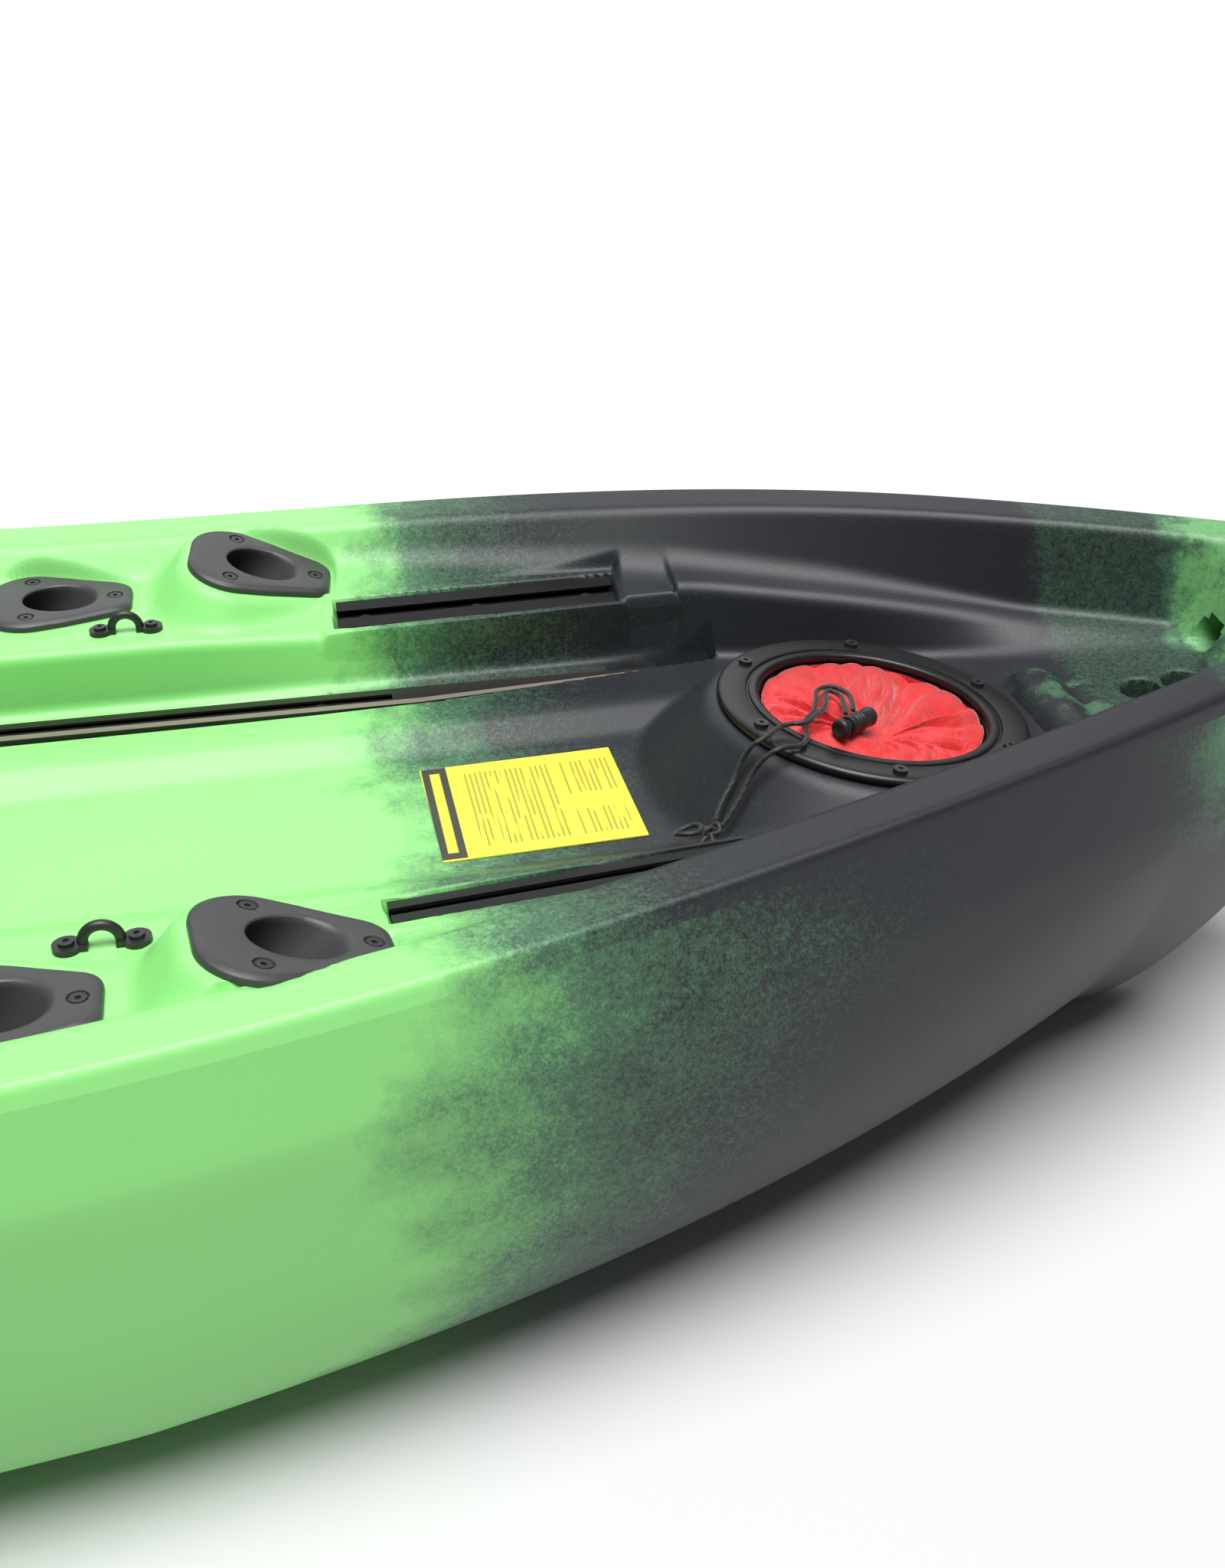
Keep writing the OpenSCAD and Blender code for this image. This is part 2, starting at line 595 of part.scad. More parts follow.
// ---- drain plug on the foredeck ----------------------------------------
drain_x = 1440;
drain_z = sheer(drain_x) - deck_drop;
drain_neck_r = 16;
drain_bore_r = 12.5;
plug_r = 12.44;
bezel_t = 3;
module drain_bezel() {
    color(BLACK) translate([drain_x, 0, drain_z]) difference() {
        union() {
            cylinder(r = 25, h = bezel_t, $fn = FINE);
            translate([0, 0, -24]) cylinder(r = drain_neck_r - 0.3, h = 25, $fn = FINE);
        }
        translate([0, 0, -30]) cylinder(r = drain_bore_r, h = 60, $fn = FINE);
    }
}
module drain_oring() {
    color("dimgray") translate([drain_x, 0, drain_z + bezel_t + 0.95]) rotate_extrude($fn = FINE)
        translate([14.6, 0]) circle(0.85, $fn = 24);
}
module drain_plug() {
    color(BLACK) translate([drain_x, 0, drain_z + bezel_t]) {
        translate([0, 0, 1.85]) cylinder(r = 18, h = 4, $fn = FINE);
        translate([0, 0, -14]) cylinder(r = plug_r, h = 16, $fn = FINE);
        translate([-14, -3, 5.8]) cube([28, 6, 7]);
    }
}

// ---- carry handles -----------------------------------------------------
// The frame of a handle has its origin on the end deck below the hinge
// pin, +X towards the nearer tip
pin_h = 12;
pin_r = 3;
lug_y = 38;
module at_handle(bow) {
    x = bow ? 1545 : -1570;
    translate([x, 0, sheer(x) - deck_drop]) rotate(bow ? 0 : 180) children();
}
module handle_mount(bow) {
    color(BLACK) at_handle(bow) for (side = [-1, 1]) translate([0, side * lug_y, 0]) difference() {
        union() {
            translate([-18, -8, 0]) cube([30, 16, 3]);
            translate([-6, -3.5, 0]) cube([12, 7, pin_h]);
            translate([0, 0, pin_h]) rotate([90, 0, 0]) cylinder(r = 6, h = 7, center = true);
        }
        translate([0, 0, pin_h]) rotate([90, 0, 0]) cylinder(r = pin_r, h = 30, center = true);
        translate([-12, 0, -1]) cylinder(r = 2.2, h = 6, $fn = 24);
    }
}
module handle_bail(bow) {
    reach = bow ? 62 : 50;
    color("silver") at_handle(bow) {
        for (side = [-1, 1]) translate([0, side * (lug_y - 8), pin_h]) {
            rotate([90, 0, 0]) cylinder(r = 5.5, h = 6, center = true);
            translate([0, -3, -4]) cube([reach, 6, 8]);
            translate([0, side * 6.5, 0]) rotate([90, 0, 0]) cylinder(r = pin_r - 0.05, h = 9, center = true);
        }
        translate([reach, 0, pin_h]) rotate([90, 0, 0]) cylinder(r = 4, h = 2 * lug_y - 10, center = true);
    }
}
module handle_grip(bow) {
    reach = bow ? 62 : 50;
    color(BLACK) at_handle(bow) translate([reach, 0, pin_h]) rotate([90, 0, 0]) difference() {
        cylinder(r = 8.5, h = 2 * lug_y - 23, center = true);
        cylinder(r = 4, h = 100, center = true);
    }
}
module bow_handle_mount() { handle_mount(true); }
module bow_handle_bail() { handle_bail(true); }
module bow_handle_grip() { handle_grip(true); }
module stern_handle_mount() { handle_mount(false); }
module stern_handle_bail() { handle_bail(false); }
module stern_handle_grip() { handle_grip(false); }
module handle_screws() {
    color("silver") for (bow = [true, false], side = [-1, 1])
        at_handle(bow) translate([-12, side * lug_y, 3]) pan_screw(4, 2, 2, 14);
}

// ---- plate on the sole -------------------------------------------------
module info_plate() {
    color("yellow") translate([-1024.4, 0, 210.27]) rotate([0, 1.1, 0.8])
        translate([-64.8, -58, 0]) cube([129.6, 116, 0.8]);
}

hull_skin();
deck_liner();
seat_rail_port();
seat_rail_starboard();
seat_rail_screws();
gear_track_port();
gear_track_starboard();
gear_track_screws();
rod_holder_port_aft();
rod_holder_starboard_aft();
rod_holder_port_mid();
rod_holder_starboard_mid();
rod_holder_screws();
pad_eye_port();
pad_eye_starboard();
pad_eye_screws();
hatch_ring();
hatch_gasket();
hatch_screws();
hatch_bag();
drawcord_long();
drawcord_short();
drawcord_knot();
cord_lock_barrel();
cord_lock_button();
cord_lock_spring();
skid_plate();
skid_plate_screws();
drain_bezel();
drain_plug();
drain_oring();
bow_handle_mount();
bow_handle_bail();
bow_handle_grip();
stern_handle_mount();
stern_handle_bail();
stern_handle_grip();
handle_screws();
info_plate();
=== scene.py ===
import math
import random

import bpy
import numpy as np
from mathutils import Euler, Matrix, Vector


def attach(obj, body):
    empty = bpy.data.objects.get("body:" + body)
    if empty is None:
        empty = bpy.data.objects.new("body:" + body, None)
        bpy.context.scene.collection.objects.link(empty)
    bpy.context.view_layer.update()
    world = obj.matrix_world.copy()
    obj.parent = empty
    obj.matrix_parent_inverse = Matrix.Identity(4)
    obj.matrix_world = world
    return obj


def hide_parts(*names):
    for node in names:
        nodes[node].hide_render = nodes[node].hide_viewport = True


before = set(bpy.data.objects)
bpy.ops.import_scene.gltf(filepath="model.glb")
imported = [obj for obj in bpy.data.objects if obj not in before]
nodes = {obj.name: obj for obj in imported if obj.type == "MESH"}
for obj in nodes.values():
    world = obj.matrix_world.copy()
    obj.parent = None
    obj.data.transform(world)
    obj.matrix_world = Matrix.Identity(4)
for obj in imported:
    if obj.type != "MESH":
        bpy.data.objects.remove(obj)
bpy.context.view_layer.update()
MM = 0.001

# ---- camera: fitted to the photograph ----------------------------------
cam_data = bpy.data.cameras.new("camera")
cam_data.sensor_width = 36
cam_data.lens = 39.117
cam_data.clip_start = 0.05
cam = bpy.data.objects.new("camera", cam_data)
bpy.context.scene.collection.objects.link(cam)
cam_right = Vector((-0.97772, 0.20988, 0.0034))
cam_forward = Vector((-0.18323, -0.84547, -0.5016)).normalized()
cam_up = cam_right.cross(cam_forward).normalized()
cam_right = cam_forward.cross(cam_up).normalized()
cam_at = Matrix.Translation((-0.87523, 0.93973, 0.77529))
cam_turn = Matrix((cam_right, cam_up, -cam_forward)).transposed().to_4x4()
cam.matrix_world = cam_at @ cam_turn
bpy.context.scene.camera = cam
bpy.context.scene.view_settings.view_transform = "Standard"


# ---- mesh helpers ------------------------------------------------------
def add_mesh(name, verts, faces, mat=None, sharp=None, smooth=True):
    """A new object from points in millimetres."""
    me = bpy.data.meshes.new(name)
    me.from_pydata((np.asarray(verts, float) * MM).tolist(), [], [list(f) for f in faces])
    me.polygons.foreach_set("use_smooth", [smooth] * len(me.polygons))
    me.update()
    if sharp:
        me.set_sharp_from_angle(angle=math.radians(sharp))
    o = bpy.data.objects.new(name, me)
    bpy.context.scene.collection.objects.link(o)
    if mat:
        me.materials.append(mat)
    return o


def bake(o, sharp=None):
    """Applies an object's modifiers to its mesh."""
    dg = bpy.context.evaluated_depsgraph_get()
    me = bpy.data.meshes.new_from_object(o.evaluated_get(dg))
    o.modifiers.clear()
    o.data = me
    me.polygons.foreach_set("use_smooth", [True] * len(me.polygons))
    if sharp:
        me.set_sharp_from_angle(angle=math.radians(sharp))
    me.update()


def discard(o):
    """Deletes a helper object and its mesh."""
    mesh = o.data
    bpy.data.objects.remove(o)
    bpy.data.meshes.remove(mesh)


def grid_faces(rows, cols, close_rows=False, close_cols=False, start=0):
    """Quads of a grid of points, rows x cols, numbered row by row."""
    out = []
    for i in range(rows if close_rows else rows - 1):
        i1 = (i + 1) % rows
        for j in range(cols if close_cols else cols - 1):
            j1 = (j + 1) % cols
            out.append((start + i * cols + j, start + i * cols + j1,
                        start + i1 * cols + j1, start + i1 * cols + j))
    return out


LATHE_SHARP = 35                 # degrees, above which a turned edge stays crisp


def lathe(name, profile, mat, place, segments, ripple=None):
    """Turns a profile of (radius, height) round Z; it closes on itself."""
    verts = []
    for r, z in profile:
        for k in range(segments):
            a = 2 * math.pi * k / segments
            rr = r + (ripple(a, r, z) if ripple else 0)
            verts.append(place @ Vector((rr * math.cos(a), rr * math.sin(a), z)))
    return add_mesh(name, [tuple(v) for v in verts],
                    grid_faces(len(profile), segments, True, True), mat, LATHE_SHARP)


def catmull(points, per):
    """A smooth line through the points, with per points to a span."""
    p = [Vector(q) for q in points]
    out = []
    for i in range(len(p) - 1):
        a, b, c, d = p[max(0, i - 1)], p[i], p[i + 1], p[min(len(p) - 1, i + 2)]
        for k in range(per):
            t = k / per
            out.append(0.5 * (2 * b + (c - a) * t + (2 * a - 5 * b + 4 * c - d) * t * t
                              + (3 * b - a - 3 * c + d) * t ** 3))
    return out + [p[-1]]


def rope_tube(name, line, radius, mat, twist=2.2, sides=18, lobes=3, depth=0.12,
              closed=False):
    """A laid cord: a lobed section that turns as it follows the line (mm)."""
    n = len(line)
    verts = []
    side = None
    run = 0.0
    for i, q in enumerate(line):
        ahead = line[(i + 1) % n] if closed else line[min(n - 1, i + 1)]
        behind = line[i - 1] if closed else line[max(0, i - 1)]
        t = (ahead - behind).normalized()
        if side is None:
            side = t.orthogonal().normalized()
        side = (side - t * side.dot(t)).normalized()
        up = t.cross(side)
        if i:
            run += (q - line[i - 1]).length
        turn = run * twist / radius / 4
        taper = 1.0
        if not closed and (i == 0 or i == n - 1):
            taper = 0.6
        for k in range(sides):
            a = 2 * math.pi * k / sides
            r = radius * taper * (1 - depth * (0.5 - 0.5 * math.cos(lobes * (a - turn))))
            verts.append(q + side * (r * math.cos(a)) + up * (r * math.sin(a)))
    faces = grid_faces(n, sides, closed, True)
    if not closed:
        faces += [tuple(range(sides))[::-1], tuple(range((n - 1) * sides, n * sides))]
    return add_mesh(name, [tuple(v) for v in verts], faces, mat)


# ---- materials ---------------------------------------------------------
class Nodes:
    """Short names for building one material's node tree."""

    def __init__(self, name, **sockets):
        self.mat = bpy.data.materials.new(name)
        self.mat.use_nodes = True
        self.tree = self.mat.node_tree
        self.bsdf = self.tree.nodes["Principled BSDF"]
        for key, value in sockets.items():
            self.bsdf.inputs[key.replace("_", " ")].default_value = value
        self.coord = self.new("ShaderNodeTexCoord").outputs["Object"]

    def new(self, kind, **props):
        n = self.tree.nodes.new(kind)
        for key, value in props.items():
            setattr(n, key, value)
        return n

    def link(self, a, b):
        self.tree.links.new(a, b)

    def put(self, socket, value):
        if isinstance(value, bpy.types.NodeSocket):
            self.link(value, socket)
        else:
            socket.default_value = value

    def math(self, op, a, b=0.0, c=0.0, clamp=False):
        n = self.new("ShaderNodeMath", operation=op, use_clamp=clamp)
        for s, v in zip(n.inputs, (a, b, c)):
            self.put(s, v)
        return n.outputs[0]

    def noise(self, scale, detail=2.0, rough=0.5, vector=None, distort=0.0):
        n = self.new("ShaderNodeTexNoise")
        n.inputs["Scale"].default_value = scale
        n.inputs["Detail"].default_value = detail
        n.inputs["Roughness"].default_value = rough
        n.inputs["Distortion"].default_value = distort
        self.link(vector or self.coord, n.inputs["Vector"])
        return n.outputs["Fac"]

    def shaken(self, value, noise, width):
        """The value, moved by a noise over this width, half of it either way."""
        return self.math("ADD", value, self.math("MULTIPLY_ADD", noise, width, -0.5 * width))

    def stretched(self, scale):
        n = self.new("ShaderNodeMapping")
        n.inputs["Scale"].default_value = scale
        self.link(self.coord, n.inputs["Vector"])
        return n.outputs[0]

    def ramp(self, value, low, high, out_low=0.0, out_high=1.0, smooth=True):
        n = self.new("ShaderNodeMapRange",
                     interpolation_type="SMOOTHSTEP" if smooth else "LINEAR")
        for s, v in zip(n.inputs, (value, low, high, out_low, out_high)):
            self.put(s, v)
        return n.outputs["Result"]

    def mix(self, fac, a, b):
        n = self.new("ShaderNodeMix", data_type="RGBA")
        self.put(n.inputs["Factor"], fac)
        for key, v in (("A", a), ("B", b)):
            s = [i for i in n.inputs if i.name == key and i.type == "RGBA"][0]
            if not isinstance(v, bpy.types.NodeSocket) and len(v) == 3:
                v = (*v, 1)
            self.put(s, v)
        return [o for o in n.outputs if o.type == "RGBA"][0]

    def axes(self):
        n = self.new("ShaderNodeSeparateXYZ")
        self.link(self.coord, n.inputs[0])
        return n.outputs

    def bump(self, height, distance, strength=1.0, before=None):
        n = self.new("ShaderNodeBump")
        n.inputs["Strength"].default_value = strength
        n.inputs["Distance"].default_value = distance
        self.link(height, n.inputs["Height"])
        if before:
            self.link(before, n.inputs["Normal"])
        return n.outputs["Normal"]

    def finish(self, colour=None, rough=None, normal=None):
        if colour is not None:
            self.put(self.bsdf.inputs["Base Color"], colour)
        if rough is not None:
            self.put(self.bsdf.inputs["Roughness"], rough)
        if normal is not None:
            self.link(normal, self.bsdf.inputs["Normal"])
        return self.mat


RAIL_TIP, RAIL_TAPER = -1180, -970       # the seat rails' stern end, and where it narrows
LIME_RGB = (0.26, 0.70, 0.205)
DUSK_RGB = (0.058, 0.150, 0.078)         # where grains of both colours mix
CHARCOAL_RGB = ((0.0085, 0.0095, 0.0125), (0.017, 0.019, 0.026))
DUSK_AT = 0.6                            # the mix's share of charcoal at that colour


def tinted(rgb, level):
    return tuple(v * level for v in rgb)


def moulded_material(name, inside):
    """Speckled two-colour polyethylene: lime into charcoal and back to lime; the outside copy's
    lime is darker as painted shade.
    """
    m = Nodes(name, Specular_IOR_Level=0.42)
    x, y, z = m.axes()
    side = m.math("ABSOLUTE", y)
    streak = m.noise(5, 2, 0.5, m.stretched((0.9, 1.3, 2.2)))
    mottle = m.noise(34, 3, 0.6)
    broad = m.noise(7, 2, 0.5)
    fine = m.noise(640, 2.0, 0.7)
    coarse = m.noise(250, 2.0, 0.6)
    # how far aft a point is of the line where charcoal takes over, in metres;
    # the change of colour runs from fore to back of that line
    if inside:
        line = m.ramp(side, 0.05, 0.19, -0.985, -0.980)
        reach, fore, back, level = 0.15, -0.060, 0.130, 1.0
    else:
        high = m.ramp(z, 0.17, 0.30, 0.0, 1.0)
        line = m.math("MULTIPLY_ADD", high, -0.030, -0.962)
        # painted shade: the outside's lime is 0.86 as bright as the inside's, standing in for the
        # lesser light on the hull's sideways-facing panels
        reach, fore, back, level = 0.22, -0.080, 0.185, 0.86
    aft = m.shaken(m.math("SUBTRACT", line, x), streak, reach)
    aft = m.shaken(aft, mottle, 0.09)
    dark = m.ramp(aft, fore, back, smooth=False)
    # lime comes back at the stern
    if inside:
        green = m.ramp(m.shaken(x, mottle, 0.03), -1.404, -1.422, 0.0, 0.36)
        tip = m.ramp(m.shaken(x, mottle, 0.09), -1.462, -1.520, 0.0, 0.80)
        patch = m.ramp(m.math("ABSOLUTE", m.math("ADD", x, 1.400)), 0.012, 0.040, 0.6, 0.0)
        patch = m.math("MULTIPLY", patch, m.ramp(side, 0.03, 0.07, 1.0, 0.0))
        patch = m.math("MULTIPLY", patch, m.ramp(mottle, 0.40, 0.58))
        green = m.math("MAXIMUM", m.math("MAXIMUM", green, tip), patch)
    else:
        green = m.ramp(m.shaken(x, streak, 0.16), -1.325, -1.450, 0.0, 0.80)
        high = m.ramp(m.shaken(z, mottle, 0.10), 0.205, 0.280, 0.10, 1.0)
        green = m.math("MULTIPLY", green, high)
    dark = m.math("SUBTRACT", dark, green, clamp=True)
    # grains of one colour in the other, over a soft change of tone
    light = m.math("SUBTRACT", 1.0, dark)
    tone = m.math("SUBTRACT", 1.0, m.math("POWER", light, 2.3))
    loose = m.ramp(aft, fore - 0.09, back + 0.10, smooth=False)
    spread = m.math("MULTIPLY", m.math("MULTIPLY", dark, light), 1.25)
    stray = m.math("MULTIPLY", loose, m.math("SUBTRACT", 1.0, loose))
    spread = m.math("ADD", spread, m.math("MULTIPLY", stray, 0.55))
    grain = m.shaken(m.math("MULTIPLY_ADD", fine, 1.7, -0.85), coarse, 1.1)
    fac = m.math("MULTIPLY_ADD", grain, spread, tone, clamp=True)
    lime = m.mix(broad, tinted(LIME_RGB, level * 0.95), tinted(LIME_RGB, level * 1.04))
    dusk = m.mix(m.math("MULTIPLY", fac, 1 / DUSK_AT, clamp=True), lime, DUSK_RGB)
    char = m.mix(m.noise(420, 2, 0.7), *CHARCOAL_RGB)
    beyond = m.math("MULTIPLY_ADD", fac, 1 / (1 - DUSK_AT), -DUSK_AT / (1 - DUSK_AT), clamp=True)
    colour = m.mix(beyond, dusk, char)
    pebble = m.noise(900, 2, 0.6)
    wave = m.noise(5.5, 2, 0.4)
    rough = m.math("MULTIPLY_ADD", pebble, 0.16, m.math("MULTIPLY_ADD", fac, 0.07, 0.34))
    normal = m.bump(wave, 0.0035, 0.5)
    normal = m.bump(pebble, 0.00012, 0.55, normal)
    return m.finish(colour, rough, normal)


def black_material(name, base=0.022, rough=0.42, grain=520, depth=0.00012):
    """Moulded black plastic with a fine spark texture and a few pale scuffs."""
    m = Nodes(name, Specular_IOR_Level=0.5)
    fine = m.noise(grain, 3, 0.7)
    scuff = m.ramp(m.noise(26, 6, 0.75), 0.62, 0.78)
    colour = m.mix(m.math("MULTIPLY_ADD", scuff, 0.5, m.math("MULTIPLY", fine, 0.35)),
                   (base, base, base * 1.06), (base * 2.6, base * 2.6, base * 2.7))
    r = m.math("MULTIPLY_ADD", fine, 0.2, rough - 0.1)
    return m.finish(colour, r, m.bump(fine, depth, 0.6))


def metal_material(name, colour, rough, metallic, brush=(1, 30, 30)):
    m = Nodes(name, Metallic=metallic)
    lines = m.noise(60, 4, 0.7, m.stretched(brush))
    c = m.mix(lines, tinted(colour, 0.75), tinted(colour, 1.3))
    return m.finish(c, m.math("MULTIPLY_ADD", lines, 0.25, rough - 0.12),
                    m.bump(lines, 0.00006, 0.5))


def rail_material(name):
    """Brown-black anodised rail with a painted highlight, a paler tan line, along its inner lip.
    """
    m = Nodes(name, Metallic=0.35)
    x, y, _ = m.axes()
    lines = m.noise(60, 4, 0.7, m.stretched((0.3, 30, 30)))
    # the inner edge's distance from the centreline and the lip's width, over the taper
    taper = (RAIL_TIP * MM, RAIL_TAPER * MM)
    edge = m.ramp(x, *taper, 0.1485, 0.1290, smooth=False)
    wide = m.ramp(x, *taper, 0.0016, 0.0066, smooth=False)
    inner = m.math("SUBTRACT", m.math("ABSOLUTE", y), edge)
    past = m.math("SUBTRACT", inner, wide)
    # painted highlight: a paler tan strip along the rail's inner edge stands in for light on its
    # rounded lip
    lip = m.math("MULTIPLY", m.ramp(inner, 0.0002, 0.0010), m.ramp(past, 0.0, 0.0010, 1.0, 0.0))
    body = m.mix(lines, (0.012, 0.010, 0.009), (0.026, 0.022, 0.020))
    painted_lip_highlight = m.mix(lines, (0.20, 0.165, 0.14), (0.34, 0.29, 0.25))
    return m.finish(m.mix(lip, body, painted_lip_highlight), m.math("MULTIPLY_ADD", lines, 0.2, 0.34),
                    m.bump(lines, 0.00006, 0.5))


def cloth_material(name):
    """Red coated nylon: a fine plain weave with a soft sheen and creases."""
    m = Nodes(name, Sheen_Weight=0.35, Sheen_Roughness=0.4)
    wave_u = m.new("ShaderNodeTexWave", wave_type="BANDS", bands_direction="X")
    wave_v = m.new("ShaderNodeTexWave", wave_type="BANDS", bands_direction="Y")
    for w in (wave_u, wave_v):
        w.inputs["Scale"].default_value = 520
        w.inputs["Distortion"].default_value = 0.6
        m.link(m.coord, w.inputs["Vector"])
    weave = m.math("MULTIPLY", wave_u.outputs["Fac"], wave_v.outputs["Fac"])
    crease = m.noise(70, 5, 0.62, None, 1.2)
    fade = m.noise(16, 3, 0.6)
    c = m.mix(fade, (0.56, 0.014, 0.016), (0.70, 0.030, 0.030))
    c = m.mix(m.math("MULTIPLY", weave, 0.25), c, (0.55, 0.012, 0.014))
    n = m.bump(crease, 0.0032, 0.8)
    n = m.bump(weave, 0.00015, 0.5, n)
    return m.finish(c, m.math("MULTIPLY_ADD", fade, 0.15, 0.42), n)


def cord_material(name):
    m = Nodes(name, Sheen_Weight=0.2)
    fibre = m.noise(1500, 3, 0.7, m.stretched((1, 1, 0.4)))
    c = m.mix(fibre, (0.003, 0.003, 0.004), (0.016, 0.016, 0.018))
    return m.finish(c, m.math("MULTIPLY_ADD", fibre, 0.2, 0.42), m.bump(fibre, 0.0002, 0.7))


def foam_material(name):
    m = Nodes(name)
    cell = m.new("ShaderNodeTexVoronoi")
    cell.inputs["Scale"].default_value = 1400
    m.link(m.coord, cell.inputs["Vector"])
    d = cell.outputs["Distance"]
    c = m.mix(d, (0.012, 0.012, 0.012), (0.035, 0.035, 0.036))
    return m.finish(c, m.math("MULTIPLY_ADD", d, 0.1, 0.8), m.bump(d, 0.0004, 0.6))


def plate_material(name):
    """Printed yellow plate: a dark header band and plain rows of bars, no lettering."""
    m = Nodes(name, Specular_IOR_Level=0.5)
    x, y, _ = m.axes()
    u = m.math("SUBTRACT", -0.9596, x)          # metres from the plate's bow edge

    def between(value, low, high, soft=0.0004):
        return m.math("MULTIPLY", m.ramp(value, low - soft, low + soft),
                      m.ramp(value, high - soft, high + soft, 1.0, 0.0))

    def area(u_low, u_high, y_low, y_high):
        return m.math("MULTIPLY", between(u, u_low, u_high), between(y, y_low, y_high))

    header = area(0.0, 0.0165, -0.0572, 0.0572)
    inner = area(0.0050, 0.0115, -0.050, 0.050)
    row_pitch = 0.0034
    rows = m.ramp(m.math("FRACT", m.math("DIVIDE", u, row_pitch)), 0.40, 0.48, 1.0, 0.0)
    rag = m.noise(1, 0, 0.5, m.stretched((300, 26, 0)))
    dashes = m.ramp(rag, 0.40, 0.43)
    blocks = m.math("MAXIMUM", area(0.0270, 0.0840, -0.046, 0.047),
                    area(0.0900, 0.1250, -0.046, -0.004))
    blocks = m.math("MAXIMUM", blocks, area(0.0900, 0.1250, 0.016, 0.047))
    bars = m.math("MULTIPLY", m.math("MULTIPLY", rows, dashes), blocks)
    print_dark = m.math("MAXIMUM", header, m.math("MULTIPLY", bars, 0.62))
    dust = m.noise(40, 4, 0.6)
    yellow = m.mix(dust, (0.84, 0.74, 0.030), (0.93, 0.84, 0.060))
    c = m.mix(print_dark, yellow, (0.030, 0.028, 0.022))
    c = m.mix(m.math("MULTIPLY", inner, 0.85), c, (0.80, 0.70, 0.04))
    return m.finish(c, m.math("MULTIPLY_ADD", dust, 0.15, 0.36),
                    m.bump(m.noise(300, 2), 0.00005, 0.4))


hull_mat = moulded_material("moulded_outside", False)
liner_mat = moulded_material("moulded_inside", True)
black_mat = black_material("black_plastic", 0.014)
holder_mat = black_material("holder_plastic", 0.034, 0.46, 600, 0.00010)
ring_mat = black_material("ring_plastic", 0.004, 0.40, 700, 0.00008)
screw_mat = metal_material("black_steel", (0.05, 0.05, 0.055), 0.38, 0.7)
rail_mat = rail_material("rail_anodised")
track_mat = metal_material("track_anodised", (0.010, 0.010, 0.011), 0.34, 0.4, (0.3, 30, 30))
steel_mat = metal_material("bright_steel", (0.55, 0.55, 0.56), 0.30, 1.0)
bail_mat = metal_material("bail_alloy", (0.42, 0.43, 0.44), 0.34, 1.0)
grip_mat = black_material("grip_rubber", 0.016, 0.62, 900, 0.00018)
cloth_mat = cloth_material("bag_nylon")
cord_mat = cord_material("braided_cord")
foam_mat = foam_material("closed_foam")
plate_mat = plate_material("printed_plate")

# ---- cords: part.scad's routes, in millimetres ------------------------
LONG_ROUTE = [
    (-1224, 31, 270), (-1226, 24, 270), (-1228, 15, 269), (-1230, 6, 268),
    (-1229, -1, 268), (-1225, -4, 269), (-1221, -1, 269), (-1219, 6, 269),
    (-1215, 17, 270), (-1209, 27, 271), (-1202, 35, 273), (-1196, 42, 273.4),
    (-1190, 44, 273.6), (-1184, 43, 273.4), (-1178, 44, 273.2), (-1172, 49, 273.6),
    (-1166, 55, 273.6), (-1160, 58, 272.6), (-1154, 58, 268.6), (-1150, 58, 262.6),
    (-1147, 59, 256.6), (-1144, 61, 250.6), (-1140, 64, 245.6), (-1135, 68, 240.4),
    (-1131, 72, 235.2), (-1127, 77, 229),
]
SHORT_ROUTE = [
    (-1231, 26, 269), (-1233, 19, 269), (-1235, 11, 268), (-1236, 3, 268),
    (-1234, -4, 268), (-1229, -9, 269), (-1222, -9, 269), (-1216, -4, 269),
    (-1213, 5, 269), (-1209, 15, 269), (-1204, 24, 269), (-1198, 31, 269),
    (-1194, 38, 269), (-1193, 46, 269), (-1191, 54, 269), (-1187, 61, 269),
    (-1181, 66, 270), (-1174, 69, 272), (-1167, 71, 272), (-1161, 71, 269),
    (-1156, 71, 264), (-1152, 71, 258), (-1148, 73, 252), (-1144, 76, 246),
    (-1139, 79, 240), (-1134, 82, 234), (-1129, 84, 229),
]
KNOT = Vector((-1123.5, 81.5, 225.8))
CORD_D = 3.4
LOOP_OFFSET = Vector((13, -5, -1.4))
TAIL_ENDS = ((10, 9, -6), (2, 12, -8))


def knot_piece():
    """An overhand knot in both strands, with a loop and two short tails."""
    verts, faces = [], []

    def add(line, closed=False):
        part = rope_tube("part", line, CORD_D / 2, None, closed=closed, sides=12)
        base = len(verts)
        verts.extend([tuple(v.co / MM) for v in part.data.vertices])
        faces.extend([[base + k for k in p.vertices] for p in part.data.polygons])
        discard(part)

    trefoil = []
    for k in range(90):
        a = 2 * math.pi * k / 90
        p = Vector((math.sin(a) + 2 * math.sin(2 * a), math.cos(a) - 2 * math.cos(2 * a),
                    -1.35 * math.sin(3 * a)))
        trefoil.append(KNOT + Euler((0.5, 0.3, 0.2)).to_matrix() @ (p * 1.9))
    add(trefoil, True)
    turn = Euler((math.radians(12), math.radians(10), 0)).to_matrix()
    loop = []
    for k in range(48):
        a = 2 * math.pi * k / 48
        p = Vector((8.2 * math.cos(a), 6.2 * math.sin(a), 0.7 * math.sin(2 * a)))
        loop.append(KNOT + LOOP_OFFSET + turn @ p)
    add(loop, True)
    for end in TAIL_ENDS:
        bow = Vector(end) * 0.55 + Vector((0, 0, 1.2))
        add(catmull([KNOT + Vector((1, 2, 0)), KNOT + bow, KNOT + Vector(end)], 8))
    return add_mesh("cord_knot", verts, faces, cord_mat)


